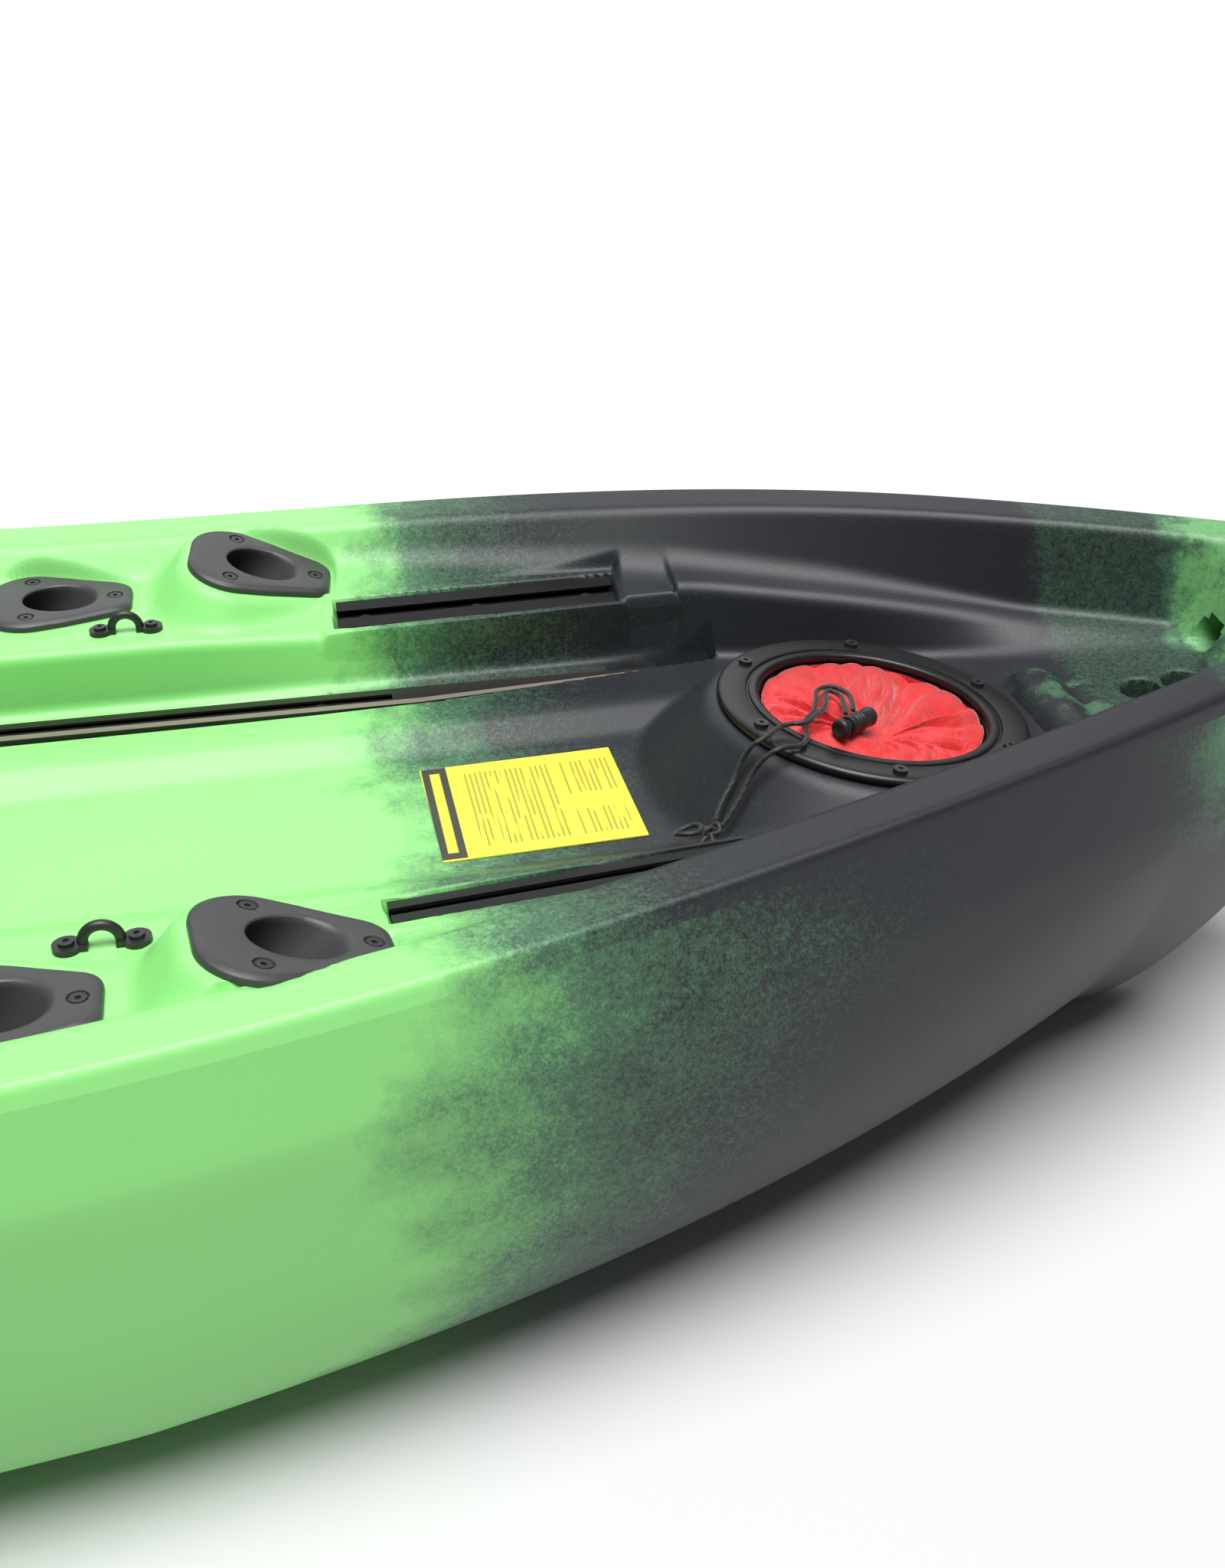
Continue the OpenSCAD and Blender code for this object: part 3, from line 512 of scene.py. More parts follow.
knot = knot_piece()
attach(knot, "hull")
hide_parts("drawcord_knot")
for label, route in (("long", LONG_ROUTE), ("short", SHORT_ROUTE)):
    line = catmull(route, 6)
    piece = rope_tube("cord_" + label, line, CORD_D / 2, cord_mat)
    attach(piece, "hull")
    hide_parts("drawcord_" + label)

# ---- lines of the hull, in millimetres --------------------------------
HALF = 1675                      # half of the length
RIM_H = 12                       # how far the liner reaches down outside the sheer
WALL = 3.5


def table(x, rows):
    xs, ys = zip(*rows)
    return np.interp(x, xs, ys)


def eased(rows):
    """The table's value, averaged over 16 mm each way so that it bends smoothly."""
    shifts = np.linspace(-16, 16, 7)

    def f(x):
        return sum(table(x + d, rows) for d in shifts) / len(shifts)
    return f


def tip_gap(x):
    return HALF - np.abs(x)


def ease(d, a, b):
    """1 up to a, 0 from b on, and a cosine between."""
    return (1 + np.cos(np.pi * np.clip((d - a) / (b - a), 0, 1))) / 2


def plan(x):
    """Half width at the gunwale's outer edge: the curve fitted to the photograph."""
    return 359 * (1 - (np.abs(x) / 1693) ** 3.2)


def sheer(x):
    """Height of the gunwale, which rises 34 at the stern and 58 at the bow."""
    return 296 + np.where(x < 0, 34, 58) * ease(tip_gap(x), 300, 1050)


def keel(x):
    """Height of the bottom, which curves up over the last 250 and 420."""
    return 300 * np.maximum(0, 1 - tip_gap(x) / np.where(x < 0, 250, 420)) ** 1.6


def crease_z(x):
    return np.maximum(sheer(x) - 71, keel(x) + 12)


def crease_y(x):
    return plan(x) + 26 * tip_gap(x) / (tip_gap(x) + 400)


def fullness(x):
    """Power of the bilge's curve: the higher, the squarer."""
    return np.minimum(4.4, 1.5 + 0.0047 * np.maximum(0, tip_gap(x) - 290))


def band(x):
    return np.minimum(36, 0.35 * plan(x))


def inner_edge(x):
    return plan(x) - band(x)


NOTCH_X = -1160                  # where the shelf steps up to the ledge
wall_table = eased([(0, 8), (560, 8), (700, 26), (860, 26), (920, 15), (1120, 22),
                    (1500, 18)])
shelf_out_z = eased([(-1495, 266), (-1405, 266), (-1345, 273), (-1275, 282), (-1175, 288),
                     (-1120, 288), (-920, 281), (-860, 272), (-805, 269), (900, 269),
                     (1245, 290)])
shelf_in_y = eased([(-1495, 52), (-1405, 92), (-1345, 112), (-1275, 133), (-1175, 163),
                    (-920, 172), (-805, 168), (-570, 168), (-450, 232), (900, 232),
                    (1245, 148)])
ledge_z = eased([(-1495, 263), (-1405, 264), (-1345, 268), (-1275, 273), (-1175, 280),
                 (-1120, 283)])
rail_ledge_z = eased([(-1175, 269), (-1120, 268), (-920, 261), (-805, 268), (900, 268),
                      (1245, 266)])
foot_y = eased([(-1495, 36), (-1405, 64), (-1345, 98), (-1275, 125), (-1175, 152),
                (-1120, 158), (-805, 164), (-570, 165), (-450, 228), (900, 228), (1245, 142)])
foot_z = eased([(-1495, 259), (-1405, 249), (-1345, 238), (-1275, 231), (-1120, 228),
                (-805, 223), (-450, 221), (1245, 221)])
sole_z = eased([(-1495, 256), (-1405, 246), (-1345, 234), (-1275, 216), (-1120, 212),
                (-1020, 210), (-700, 204), (1245, 204)])


def shelf_in_z(x):
    t = 1 / (1 + np.exp(-(x - NOTCH_X) / 0.9))
    return ledge_z(x) * (1 - t) + rail_ledge_z(x) * t


def rim_corners(x, drop):
    """The liner's outer lip, its top edge and its inner edge, drop below the sheer."""
    p, s = plan(x), sheer(x)
    out = (crease_y(x) - p) * RIM_H / (s - crease_z(x))
    return [np.stack([p + out, s - RIM_H], -1), np.stack([p, s], -1),
            np.stack([inner_edge(x), s - drop], -1)]


def well_corners(x):
    """Corners of the half section across the cockpit, from the rim to the middle."""
    f, sz = foot_y(x), sole_z(x)
    return np.stack(rim_corners(x, 2) + [
        np.stack([inner_edge(x) - wall_table(np.abs(x)), shelf_out_z(x)], -1),
        np.stack([shelf_in_y(x), shelf_in_z(x)], -1), np.stack([f, foot_z(x)], -1),
        np.stack([np.minimum(98, 0.65 * f), foot_z(x) - 2], -1),
        np.stack([np.minimum(72, 0.48 * f), sz], -1), np.stack([0 * x, sz], -1),
    ], 1)


def deck_corners(x):
    """As many corners across the flat decks at the two ends."""
    q, s = inner_edge(x), sheer(x)
    return np.stack(rim_corners(x, 1.5) + [
        np.stack([q * k / 6, s - 2], -1) for k in range(5, -1, -1)], 1)


def round_section(corners, radii, spans, turns):
    """Rounds each inner corner with a curve and fills the straights with points."""
    parts = []
    n = corners.shape[1]
    last = corners[:, 0]
    for i in range(1, n):
        c = corners[:, i]
        if i < n - 1:
            back, ahead = corners[:, i - 1] - c, corners[:, i + 1] - c
            lb = np.linalg.norm(back, axis=1, keepdims=True)
            la = np.linalg.norm(ahead, axis=1, keepdims=True)
            r = np.minimum(radii[i], 0.46 * np.minimum(lb, la))
            a, b = c + back / lb * r, c + ahead / la * r
        else:
            a = c
        for t in np.linspace(0, 1, spans[i - 1], endpoint=False):
            parts.append(last * (1 - t) + a * t)
        if i < n - 1:
            for t in np.linspace(0, 1, turns[i], endpoint=False):
                parts.append(a * (1 - t) ** 2 + 2 * c * t * (1 - t) + b * t * t)
            last = b
        else:
            parts.append(c)
    return np.stack(parts, 1)


def stations(*runs):
    """Stations from (from, to, step) runs, and the end."""
    return np.concatenate([np.arange(a, b - 1e-6, s) for a, b, s in runs] + [[runs[-1][1]]])


def end_squeeze(x):
    """Narrows the last few millimetres into a rounded stem."""
    t = np.clip((np.abs(x) - (HALF - 15)) / 15, 0, 1)
    return np.sqrt(np.maximum(1 - t * t, 0.0009))


def smooth_max(a, b, k):
    """The larger of two, blended where they are within k of each other."""
    h = np.maximum(k - np.abs(a - b), 0) / k
    return np.maximum(a, b) + h * h * k / 4


def step(t):
    """A smooth step from 0 to 1 as t goes from 0 to 1."""
    t = np.clip(t, 0, 1)
    return t * t * (3 - 2 * t)


def turn_matrix(degrees):
    """Turns about X, then Y, then Z, as OpenSCAD's rotate does."""
    a, b, c = (math.radians(d) for d in degrees)
    return np.array(Matrix.Rotation(c, 3, "Z") @ Matrix.Rotation(b, 3, "Y")
                    @ Matrix.Rotation(a, 3, "X"))


# where the fittings sit, as in part.scad; starboard mirrors port
HATCH_AT = np.array([-1255.0, 0.0, 258.0])
HATCH_TILT = 6.8
HATCH_TURN = turn_matrix((0, -HATCH_TILT, 0))
HOLDERS = {"aft": (np.array([-871.0, 239, 292]), turn_matrix((4.6, -16.3, 5))),
           "mid": (np.array([-726.0, 244, 276]), turn_matrix((1.5, -1.3, 0.6)))}
TRACK_AT = np.array([-918, 191.5, 267.5])
TRACK_TURN = turn_matrix((12.7, 2.1, 2.8))
TEARDROP = [(-35, 11, 14), (-35, -11, 14), (22, 12, 31), (22, -12, 31)]  # x, y, radius
FLANGE_T = 6
LEAN = math.radians(35)          # the rod holders' bores from their flanges' normal
BORE_R, TUBE_R, TUBE_END = 20.6, 23.5, 200
HOLDER_SCREWS = ((-37.5, 0), (22, 29.3), (22, -29.3))
DRAIN_SOCKETS = (-1447, -1477)
ROPE_HOLES = np.array([-1506, 30, 271])


def teardrop_gap(u, v):
    """Distance outside the rod holder's outline, in its own plane."""
    best = np.full(np.shape(u), -1e9)
    for a in np.linspace(0, 2 * np.pi, 72, endpoint=False):
        c, s = math.cos(a), math.sin(a)
        reach = max(cx * c + cy * s + r for cx, cy, r in TEARDROP)
        best = np.maximum(best, u * c + v * s - reach)
    return best


def plane_z(at, turn, lift, x, y):
    """Height of a tilted plane, lift above its origin along its normal."""
    n = turn[:, 2]
    p = at + n * lift
    return p[2] - (n[0] * (x - p[0]) + n[1] * (y - p[1])) / n[2]


def local(at, turn, x, y, z):
    """A point's coordinates in a fitting's own frame."""
    d = np.stack([x - at[0], y - at[1], z - at[2]], -1)
    return np.moveaxis(d @ turn, -1, 0)


def moulded_features(x, y, z):
    """Raises and lowers the liner's surface for the shapes moulded into it."""
    side = np.abs(y)
    low = z < sheer(x) - 6
    # raised ring under the hatch
    zp = plane_z(HATCH_AT, HATCH_TURN, 0, x, y)
    u, v, _ = local(HATCH_AT, HATCH_TURN, x, y, zp)
    r = np.hypot(u, v)
    shoulder = 12
    over = np.maximum(r - (109 - shoulder / 2), 0)
    fall = np.where(over < shoulder, over ** 2 / (2 * shoulder), over - shoulder / 2)
    pod = zp - (7 + 1.163 * fall) / math.cos(math.radians(HATCH_TILT))
    z = np.where(low & (r < 190), smooth_max(z, pod, 7), z)
    # wedges under the rod holders
    for name, (at, turn) in HOLDERS.items():
        top = plane_z(at, turn, -FLANGE_T, x, side)
        u, v, _ = local(at, turn, x, side, top)
        gap = teardrop_gap(u, v)
        slope = 1.5 if name == "aft" else 1.0
        fall = np.maximum(gap - 1, 0)
        wedge = top - slope * np.where(fall < 8, fall ** 2 / 16, fall - 4)
        wedge = wedge - 2.5 * np.maximum(0, shelf_in_y(x) + 4 - side)
        z = np.where(low & (gap < 60), smooth_max(z, wedge, 8), z)
        seat = step((7 - gap) / 6)
        z = np.where(gap < 7, z * (1 - seat) + np.minimum(z, top - 0.05) * seat, z)
    # notch pad behind the accessory rail, then the rail's recess
    u, v, _ = local(TRACK_AT, TRACK_TURN, x, side, z)
    pad = plane_z(TRACK_AT, TRACK_TURN, 3.5, x, side)
    inside = np.minimum(np.minimum(-202 - u, u + 242), 17.5 - np.abs(v))
    near = (inside > -6) & low
    z = np.where(near, smooth_max(z, pad + 1.4 * np.minimum(inside, 0), 4), z)
    flat = plane_z(TRACK_AT, TRACK_TURN, 1.2, x, side)
    inside = np.minimum(np.minimum(7 - u, u + 203), 24 - np.abs(v))
    lip = step((inside + 6) / 6)
    z = np.where((inside > -6) & low, z * (1 - lip) + flat * lip, z)
    deep = plane_z(TRACK_AT, TRACK_TURN, -9, x, side)
    inside = np.minimum(np.minimum(1.4 - u, u + 201.4), 16.9 - np.abs(v))
    cut = step((inside + 1.3) / 2.6)
    z = np.where((inside > -1.3) & low, z * (1 - cut) + deep * cut, z)
    # rounded ridge behind the hatch
    d = np.hypot(x + 1386, np.maximum(side - 34, 0))
    ridge = 236 + np.sqrt(np.maximum(17 ** 2 - d ** 2, 0))
    z = np.where((d < 22) & low, smooth_max(z, np.where(d < 17, ridge, -50), 9), z)
    # channel for the seat rails, whose half width goes from 12.5 to 1 over the taper
    t = np.clip((RAIL_TAPER - x) / (RAIL_TAPER - RAIL_TIP), 0, 1)
    past = np.maximum(0, np.abs(side - 141.5 - 8 * t) - (12.5 - 11.5 * t) - 0.7)
    past = past + np.maximum(0, RAIL_TIP - 4 - x) + np.maximum(0, x - 1002)
    groove = 218.4 + 4.2 * past + 30 * np.maximum(0, past - 3)
    z = np.where((past < 8) & low, -smooth_max(-z, -groove, 1.5), z)
    # drain sockets in the stern sole
    for sx in DRAIN_SOCKETS:
        d = np.hypot(x - sx, y)
        z = z - np.where(low, 34 * step((13.4 - d) / 3.6), 0) - 1.2 * step((17 - d) / 4) * low
    return z


def rope_hole_dents(p):
    """Pushes the bulkhead in along the axes of its two rope holes."""
    axis = np.array([math.sin(math.radians(75)), 0, math.cos(math.radians(75))])
    for s in (-1, 1):
        rel = p - ROPE_HOLES * (1, s, 1)
        along = rel @ axis
        d = np.linalg.norm(rel - along[..., None] * axis, axis=-1)
        push = 26 * step((12.8 - d) / 4) * (np.abs(along) < 45)
        p = p - push[..., None] * axis
    return p


# finer stations where the liner has fittings, sockets and edges
LINER_X = stations(
    (-1675, -1655, 2), (-1655, -1545, 5), (-1545, -1494, 2.5), (-1494, -1430, 1.2),
    (-1430, -1190, 4.5), (-1190, -1164, 2), (-1164, -1156, 1), (-1156, -1124, 2),
    (-1124, -1112, 1.5), (-1112, -970, 2), (-970, -924, 3.5), (-924, -908, 1.6),
    (-908, -560, 4), (-560, -440, 8), (-440, 1200, 26), (1200, 1310, 7),
    (1310, 1415, 15), (1415, 1465, 4), (1465, 1655, 12), (1655, 1675, 2))
# for each corner of the section: its radius, the points before it and the points in it
LINER_RADII = [0, 8, 7, 14, 8, 8, 6, 7, 0]
LINER_SPANS = [3, 4, 8, 64, 26, 28, 8, 26]
LINER_TURNS = [6, 6, 6, 16, 8, 6, 6, 6]


def mirrored_rings(half):
    """Whole sections from half ones that end on the centreline."""
    other = half[:, -2::-1].copy()
    other[..., 0] *= -1
    return np.concatenate([half, other], 1)


def cut_faces(verts, faces, gone):
    """Drops the faces that have a point gone, and the points that no face uses."""
    quads = np.array(faces)
    quads = quads[~gone[quads].any(axis=1)]
    used = np.zeros(len(verts), bool)
    used[quads] = True
    number = np.cumsum(used) - 1
    return verts[used], number[quads].tolist()


def liner_mesh():
    """The cockpit's section, which turns into the deck's at both ends."""
    x = LINER_X
    t = np.where(x < 0, step((-1495 - x) / 50), step((x - 1245) / 55))[:, None, None]
    corners = well_corners(x) * (1 - t) + deck_corners(x) * t
    half = round_section(corners, LINER_RADII, LINER_SPANS, LINER_TURNS)
    half[..., 0] *= end_squeeze(x)[:, None]
    rings = mirrored_rings(half)
    m = rings.shape[1]
    px = np.repeat(x[:, None], m, 1)
    y = rings[..., 0]
    z = moulded_features(px, y, rings[..., 1])
    flat = rope_hole_dents(np.stack([px, y, z], -1)).reshape(-1, 3)
    # holes under the hatch ring, the rod holders and the drain bezel
    u, v, w = local(HATCH_AT, HATCH_TURN, flat[:, 0], flat[:, 1], flat[:, 2])
    gone = (np.hypot(u, v) < 90) & (w > -40)
    for at, turn in HOLDERS.values():
        u, v, w = local(at, turn, flat[:, 0], np.abs(flat[:, 1]), flat[:, 2])
        gone |= (teardrop_gap(u, v) < -3.5) & (np.abs(w + 8) < 16) & (np.hypot(u, v * 1.1) < 34)
    gone |= np.hypot(flat[:, 0] - 1440, flat[:, 1]) < 15
    return add_mesh("liner_shell", *cut_faces(flat, grid_faces(len(x), m), gone), liner_mat)


def hull_mesh():
    """Flared panel down to the crease, round bilge, flat keel strip."""
    x = stations((-1675, -1655, 2), (-1655, -1395, 5), (-1395, -560, 8), (-560, 1200, 22),
                 (1200, 1655, 9), (1655, 1675, 2))
    s, p, cz, cy, kz, n = sheer(x), plan(x), crease_z(x), crease_y(x), keel(x), fullness(x)
    drop = s - cz
    rows = []
    top = np.stack([p + (cy - p) * RIM_H / drop, s - RIM_H], -1)
    crease = np.stack([cy, cz], -1)
    r = np.minimum(11, 0.4 * drop)[:, None]
    lean = top - crease
    a = crease + lean / np.linalg.norm(lean, axis=1, keepdims=True) * r

    def bilge(u):
        return np.stack([cy * np.cos(u) ** (2 / n), cz - (cz - kz) * np.sin(u) ** (2 / n)], -1)

    bilge_from = 0.12                # the bilge starts a little below the crease
    under = bilge(bilge_from)
    for t in np.linspace(0, 1, 8, endpoint=False):
        rows.append(top * (1 - t) + a * t)
    for t in np.linspace(0, 1, 8, endpoint=False):
        rows.append(a * (1 - t) ** 2 + 2 * crease * t * (1 - t) + under * t * t)
    rows += [bilge(u) for u in np.linspace(bilge_from, math.pi / 2 * 0.965, 30)]
    rows += [np.stack([share * cy, kz], -1) for share in (0.08, 0.04, 0)]
    half = np.stack(rows, 1)
    half[..., 0] *= end_squeeze(x)[:, None]
    rings = mirrored_rings(half)[:, ::-1]
    m = rings.shape[1]
    p3 = np.concatenate([np.repeat(x[:, None], m, 1)[..., None], rings], -1)
    return add_mesh("hull_shell", p3.reshape(-1, 3), grid_faces(len(x), m), hull_mat)


hull = hull_mesh()
liner = liner_mesh()
for o in (hull, liner):
    mod = o.modifiers.new("wall", "SOLIDIFY")
    mod.thickness = WALL * MM
    mod.offset = -1
    bake(o, 50)
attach(hull, "hull")
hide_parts("hull_skin")
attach(liner, "hull")
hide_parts("deck_liner")


# ---- rod holders -------------------------------------------------------
def rod_holder(name, at, turn, port):
    """A flange with a closed tube leaning under it, and counterbored screw holes."""
    count = 96
    level = Vector((math.cos(LEAN), 0, math.sin(LEAN)))      # across the leaning bore
    axis = Vector((-math.sin(LEAN), 0, math.cos(LEAN)))      # along it
    angles = [2 * math.pi * k / count for k in range(count)]
    # the outline's radius in each direction, by halving
    out_r = []
    for a in angles:
        lo, hi = 5.0, 90.0
        for _ in range(30):
            mid = (lo + hi) / 2
            if teardrop_gap(mid * math.cos(a), mid * math.sin(a)) < 0:
                lo = mid
            else:
                hi = mid
        out_r.append(lo)

    def outline(inset, z):
        return [Vector(((r - inset) * math.cos(a), (r - inset) * math.sin(a), z))
                for r, a in zip(out_r, angles)]

    def round_bore(radius):
        """A circle square to the bore, whose points lie in the outline's directions."""
        ring = []
        for a in angles:
            q = math.atan2(math.sin(a), math.cos(a) * math.cos(LEAN))
            ring.append(level * (radius * math.cos(q)) + Vector((0, radius * math.sin(q), 0)))
        return ring

    def bore(radius, z):
        """The bore's edge where it meets a level plane."""
        return [p - axis * ((p.z - z) / axis.z) for p in round_bore(radius)]

    def down(radius, depth):
        return [p - axis * depth for p in round_bore(radius)]

    def between(a, b, t):
        return [p.lerp(q, t) for p, q in zip(a, b)]

    plateau, mouth = outline(5.2, 0), bore(BORE_R + 3.2, 0)
    rings = [down(1.0, TUBE_END - 6), down(BORE_R, TUBE_END - 6), down(BORE_R, 120),
             down(BORE_R, 60), bore(BORE_R, -8), bore(BORE_R, -4.2), bore(20.7, -2.6),
             bore(21.3, -1.0), bore(22.3, -0.25), mouth,
             between(mouth, plateau, 0.33), between(mouth, plateau, 0.66), plateau,
             outline(4.4, -0.12), outline(1.3, -1.7), outline(0.5, -2.3), outline(0.05, -3.2),
             outline(0, -4), outline(0, 0.1 - FLANGE_T), outline(1.5, -FLANGE_T),
             bore(24.2, -FLANGE_T), bore(TUBE_R, -8),
             down(TUBE_R, 60), down(TUBE_R, TUBE_END - 1), down(1.0, TUBE_END)]

    def placed(obj_name, stack, segments, mat, smooth=True):
        """Closes a stack of rings at both ends and puts it where the holder goes."""
        verts, faces = [], []
        for rings_ in stack:
            base = len(verts)
            verts += [turn @ np.array(p) + at for ring in rings_ for p in ring]
            faces += grid_faces(len(rings_), segments, False, True, base)
            faces += [tuple(range(base, base + segments))[::-1],
                      tuple(range(len(verts) - segments, len(verts)))]
        if not port:
            verts = [v * (1, -1, 1) for v in verts]
            faces = [tuple(reversed(f)) for f in faces]
        return add_mesh(obj_name, verts, faces, mat, smooth=smooth)

    o = placed(name, [rings], count, holder_mat)
    turns = [2 * math.pi * k / 32 for k in range(32)]
    bores = [[[(sx + r * math.cos(a), sy + r * math.sin(a), z) for a in turns]
              for r, z in ((4.0, -2.5), (5.2, -1.6), (5.9, 0.8), (6.2, 3))]
             for sx, sy in HOLDER_SCREWS]
    cutter = placed("cutter", bores, 32, None, smooth=False)
    mod = o.modifiers.new("holes", "BOOLEAN")
    mod.operation = "DIFFERENCE"
    mod.solver = "EXACT"
    mod.object = cutter
    bake(o, 28)
    discard(cutter)
    return o


for key, (at, turn) in HOLDERS.items():
    for port in (True, False):
        where = ("port_" if port else "starboard_") + key
        o = rod_holder("rod_socket_" + where, at, turn, port)
        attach(o, "hull")
        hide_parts("rod_holder_" + where)

# ---- hatch -------------------------------------------------------------
HATCH = Matrix.Translation(HATCH_AT) @ Matrix.Rotation(math.radians(-HATCH_TILT), 4, "Y")
ring_profile = [
    (76.3, -26), (76.3, -9), (76.3, -7.4), (77.3, -7.0), (77.3, -5.6), (76.3, -5.2), (76.3, -3.0),
    (76.6, -1.4), (77.4, -0.5), (78.6, 0), (82.4, 0), (83.0, -0.25), (83.3, -0.9), (83.6, -1.5),
    (84.6, -1.5), (85.0, -0.9), (85.3, -0.25), (86.0, 0), (99.8, 0), (101.4, -0.25),
    (102.7, -0.9), (103.6, -1.9), (104, -3.1), (104, -4.4), (103.5, -5), (81.2, -5), (81.2, -26),
]
ring = lathe("hatch_collar", ring_profile, ring_mat, HATCH, 128)
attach(ring, "hull")
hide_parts("hatch_ring")

BAG_R = 74.0                     # the mouth's radius at the ring
GATHER = (12.0, 40.0)            # where the drawcord gathers it


def bag_mouth():
    """Cloth from the ring to the gather, in nine deep pleats and finer ones on them."""
    around, rings = 240, 34
    rng = random.Random(11)
    waves = [(rng.choice((5, 7, 9, 11, 13, 16, 19, 23, 28)), rng.uniform(0, 6.28),
              rng.uniform(0.5, 1)) for _ in range(9)]
    verts = []
    for i in range(rings):
        t = i / (rings - 1)                    # 0 at the rim, 1 at the gather
        for k in range(around):
            a = 2 * math.pi * k / around
            rim = Vector((BAG_R * math.cos(a), BAG_R * math.sin(a), 0))
            tuck = Vector((GATHER[0] + 5.0 * math.cos(a), GATHER[1] + 5.0 * math.sin(a), 0))
            bend = a + 0.22 * math.sin(2 * a + 1) * t
            p = rim.lerp(tuck, t)
            reach = (rim - tuck).length
            fold = sum(w * math.sin(n * bend + ph + 1.5 * t) for n, ph, w in waves)
            twist = bend + 0.05 * math.sin(4 * a + 9 * t)
            pleat = 0.5 * (9 * twist + 2.1 * math.sin(2 * a) + 1.2 * t)
            deep = abs(math.sin(pleat)) ** 0.6
            fine = abs(math.sin(0.5 * (21 * twist + 2.5 * math.sin(3 * a) - 2.6 * t))) ** 0.7
            strong = 0.65 + 0.35 * math.sin(3 * a + 2)
            swell = math.sin(math.pi * min(1, 0.04 + t * 1.02)) ** 0.6
            room = min(1, reach / 55)
            z = -7.5 + 8.5 * swell + 3.0 * t * t + 0.5 * fold * swell * room
            z -= room * swell * (15 * strong * (1 - deep) + 6.5 * (1 - fine))
            lean = room * swell * 4.2 * math.cos(pleat)
            p.x, p.y = p.x - lean * math.sin(a), p.y + lean * math.cos(a)
            verts.append((p.x, p.y, min(z, 4.5)))
    world = [tuple(HATCH @ Vector(v)) for v in verts]
    faces = grid_faces(rings, around, False, True)
    faces.append(tuple(range((rings - 1) * around, rings * around)))
    return add_mesh("bag_mouth", world, faces, cloth_mat)


mouth = bag_mouth()
mouth.modifiers.new("cloth", "SOLIDIFY").thickness = 0.4 * MM
bake(mouth)
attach(mouth, "hull")


def bag_ripple(a, r, z):
    """Folds of the bag's wall, inwards only, that fade out towards its middle."""
    fold = 1.6 * math.sin(9 * a + z * 0.03) + 1.1 * math.sin(17 * a + 1 - z * 0.05)
    return -abs(fold) * min(1, r / 40)


bag = lathe("bag_body", [
    (0.6, -159), (30, -158.5), (52, -155), (64, -148), (70, -139), (73.5, -125), (75, -110),
    (75, -80), (75, -50), (75, -25), (75, -12), (74, -6.5), (73.2, -6.5), (73.8, -12),
    (73.8, -50), (73.8, -110), (69, -138), (51, -153.5), (0.6, -157.5)],
    cloth_mat, HATCH, 120, bag_ripple)
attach(bag, "hull")
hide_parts("hatch_bag")

# ---- cord lock ---------------------------------------------------------
LOCK = (Matrix.Translation((-1220, 46, 269.3)) @ Matrix.Rotation(math.radians(35.5), 4, "Z")
        @ Matrix.Rotation(math.radians(-5.5), 4, "Y") @ Matrix.Rotation(math.radians(90), 4, "Y"))
barrel = lathe("lock_barrel", [
    (0.4, -26), (4.2, -26), (5.6, -25.4), (6.4, -24), (6.5, -22), (6.1, -20.5), (6.1, -15),
    (6.5, -13.5), (6.5, -12), (6.0, -11.2), (6.5, -10.4), (6.5, -9), (6.0, -8.2), (6.5, -7.4),
    (6.5, -6), (6.0, -5.2), (6.5, -4.4), (6.5, -1.4), (6.1, -0.3), (5.4, 0), (4.7, -0.2),
    (4.5, -1), (4.5, -17), (0.4, -17)], black_mat, LOCK, 48)
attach(barrel, "hull")
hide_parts("cord_lock_barrel")
button = lathe("lock_cap", [
    (0.4, -8), (3.9, -8), (4.4, -7.5), (4.4, 4.3), (5.6, 4.3), (6.3, 4.7), (6.5, 5.4), (6.5, 7.4),
    (6.2, 8.4), (5.4, 9.1), (4.0, 9.3), (3.4, 8.9), (0.4, 8.7)], black_mat, LOCK, 48)
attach(button, "lock_button")
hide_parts("cord_lock_button")


# ---- handle grips ------------------------------------------------------
def grip_piece(name, pivot_x, reach, body, node):
    """A ribbed sleeve on the bail's bar, which lies folded out from its pivot."""
    height = float(sheer(pivot_x)) + 10
    place = (Matrix.Translation((pivot_x + reach, 0, height))
             @ Matrix.Rotation(math.radians(90), 4, "X"))
    half = 26.5
    prof = [(4.05, -half), (7.2, -half), (8.3, -half + 1.2)]
    for z in np.linspace(3 - half, half - 3, 9):
        prof += [(8.5, z - 1.6), (8.5, z + 0.6), (7.7, z + 1.6), (7.7, z + 2.6)]
    prof = [p for p in prof if p[1] <= half - 1.8] + [(8.3, half - 1.2), (7.2, half), (4.05, half)]
    g = lathe(name, prof, grip_mat, place, 48)
    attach(g, body)
    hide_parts(node)


grip_piece("grip_bow", 1545, 62, "bow_handle", "bow_handle_grip")
grip_piece("grip_stern", -1570, -50, "stern_handle", "stern_handle_grip")

# ---- carried-over CAD nodes -------------------------------------------
FINISH = {
    "seat_rail_port": rail_mat, "seat_rail_starboard": rail_mat,
    "gear_track_port": track_mat, "gear_track_starboard": track_mat,
    "seat_rail_screws": screw_mat, "gear_track_screws": screw_mat,
    "rod_holder_screws": screw_mat, "pad_eye_screws": screw_mat, "hatch_screws": screw_mat,
    "skid_plate_screws": steel_mat, "handle_screws": steel_mat,
    "pad_eye_port": black_mat, "pad_eye_starboard": black_mat,
    "hatch_gasket": foam_mat, "cord_lock_spring": steel_mat, "skid_plate": grip_mat,
    "drain_bezel": black_mat, "drain_plug": black_mat, "drain_oring": foam_mat,
    "bow_handle_mount": black_mat, "stern_handle_mount": black_mat,
    "bow_handle_bail": bail_mat, "stern_handle_bail": bail_mat, "info_plate": plate_mat,
}
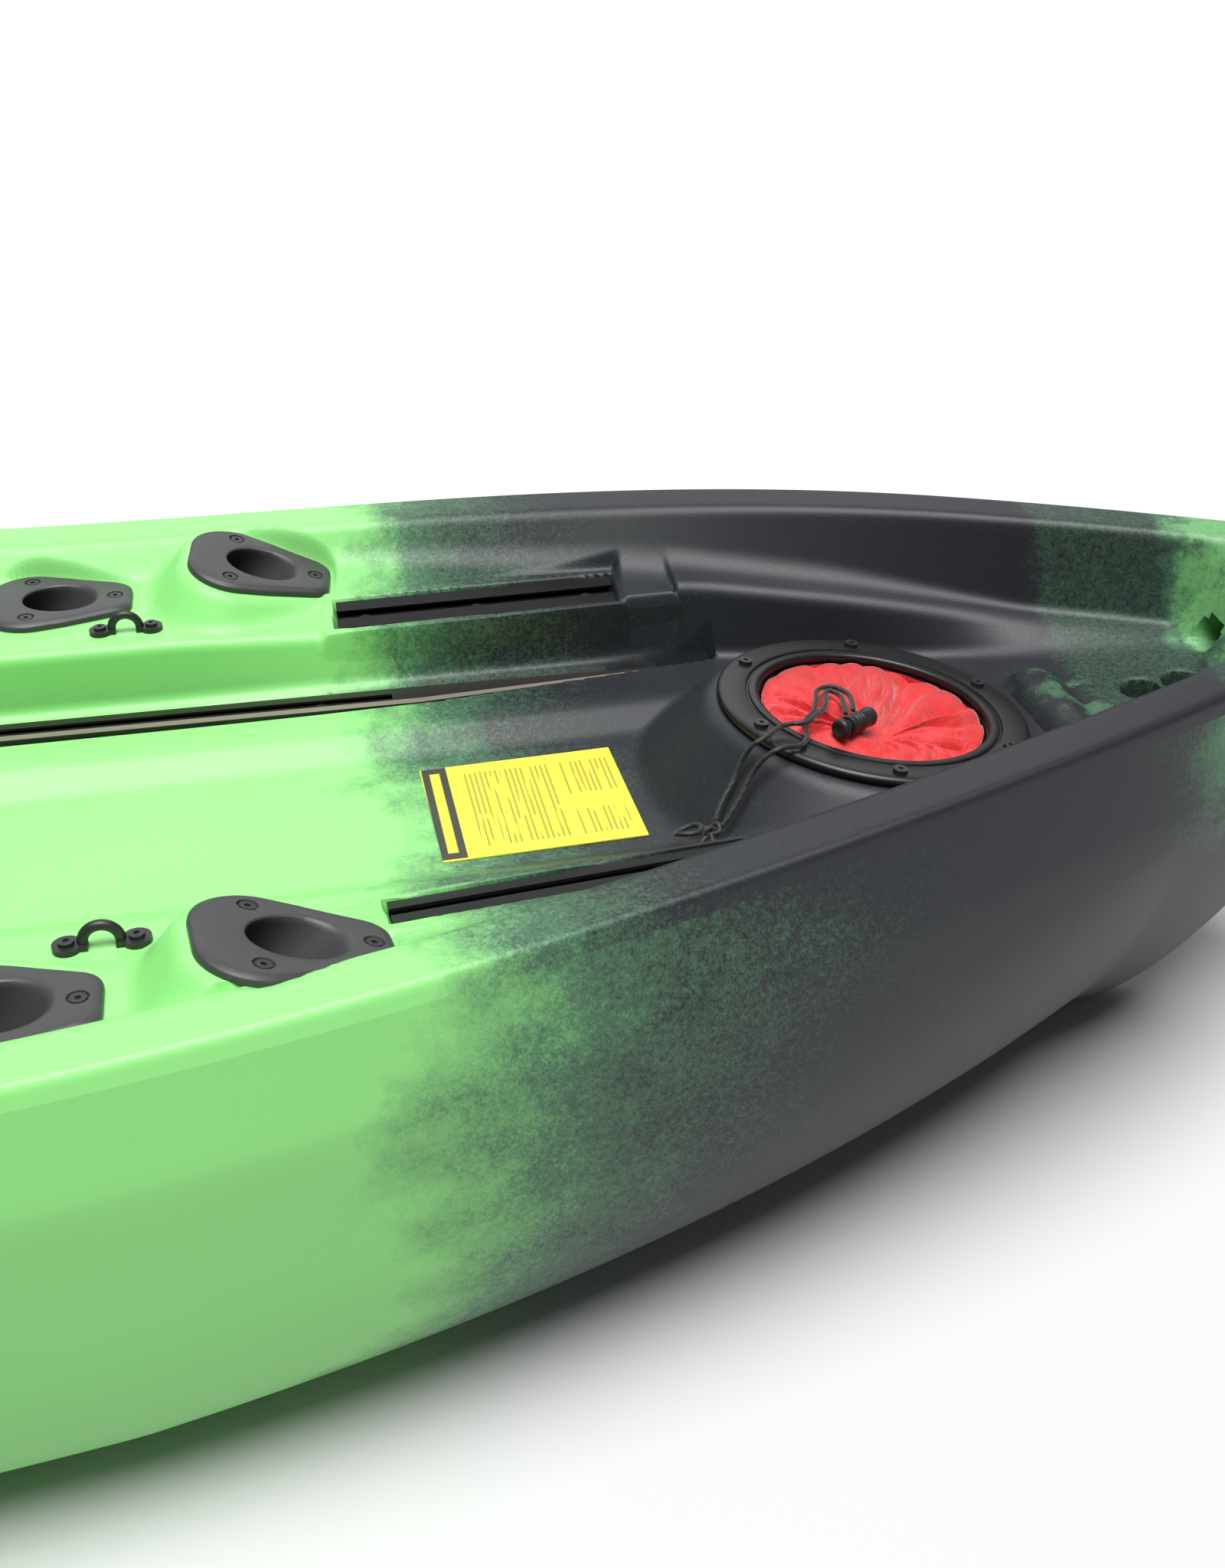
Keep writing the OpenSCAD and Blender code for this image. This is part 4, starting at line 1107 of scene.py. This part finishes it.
# widths in millimetres of the rounded edges
BEVELS = {"pad_eye_port": 0.9, "pad_eye_starboard": 0.9, "skid_plate": 1.5, "drain_bezel": 0.8,
          "drain_plug": 0.9, "bow_handle_mount": 0.8, "stern_handle_mount": 0.8,
          "bow_handle_bail": 1.0, "stern_handle_bail": 1.0, "seat_rail_port": 0.6,
          "seat_rail_starboard": 0.6, "gear_track_port": 0.5, "gear_track_starboard": 0.5,
          "hatch_screws": 0.5, "rod_holder_screws": 0.4, "pad_eye_screws": 0.4,
          "handle_screws": 0.4}
for name, mat in FINISH.items():
    o = nodes[name]
    o.data.materials.clear()
    o.data.materials.append(mat)
    if name in BEVELS:
        mod = o.modifiers.new("edges", "BEVEL")
        mod.width = BEVELS[name] * MM
        mod.segments = 3
        mod.limit_method = "ANGLE"
        mod.angle_limit = math.radians(38)

# ---- stage -------------------------------------------------------------
floor_mat = Nodes("floor_paper", Specular_IOR_Level=0.1)
tone = floor_mat.noise(1.5, 2, 0.5)
floor_mat.finish(floor_mat.mix(tone, (0.585, 0.585, 0.585), (0.60, 0.60, 0.60)), 0.9)
FLOOR = 30000                    # half its side, in millimetres
floor = add_mesh("floor", [(-FLOOR, -FLOOR, -1), (FLOOR, -FLOOR, -1), (FLOOR, FLOOR, -1),
                           (-FLOOR, FLOOR, -1)], [(0, 1, 2, 3)], floor_mat.mat)

# the backdrop looks pale to the camera, but lights the boat only dimly
WORLD_LIGHT = 0.12
world = bpy.data.worlds.new("studio")
bpy.context.scene.world = world
world.use_nodes = True
backdrop = world.node_tree.nodes["Background"]
backdrop.inputs["Color"].default_value = (1, 1, 1, 1)
seen = world.node_tree.nodes.new("ShaderNodeLightPath")
pale = world.node_tree.nodes.new("ShaderNodeMath")
pale.operation = "MAXIMUM"
pale.inputs[1].default_value = WORLD_LIGHT
world.node_tree.links.new(seen.outputs["Is Camera Ray"], pale.inputs[0])
world.node_tree.links.new(pale.outputs[0], backdrop.inputs["Strength"])


def add_light(name, kind, energy, direction, at=(0, 0, 0)):
    data = bpy.data.lights.new(name, kind)
    data.energy = energy
    o = bpy.data.objects.new(name, data)
    bpy.context.scene.collection.objects.link(o)
    o.location = at
    o.rotation_mode = "QUATERNION"
    o.rotation_quaternion = Vector(direction).to_track_quat("-Z", "Y")
    return data


sun = add_light("overhead", "SUN", 4.9, (-0.05, -0.21, -1))
sun.angle = math.radians(42)
PANEL_AT = Vector((-1.1, -9.5, 6.0))
panel = add_light("far_panel", "AREA", 310, Vector((-1.1, 0, 0.2)) - PANEL_AT, PANEL_AT)
panel.shape = "RECTANGLE"
panel.size, panel.size_y = 13.0, 4.6
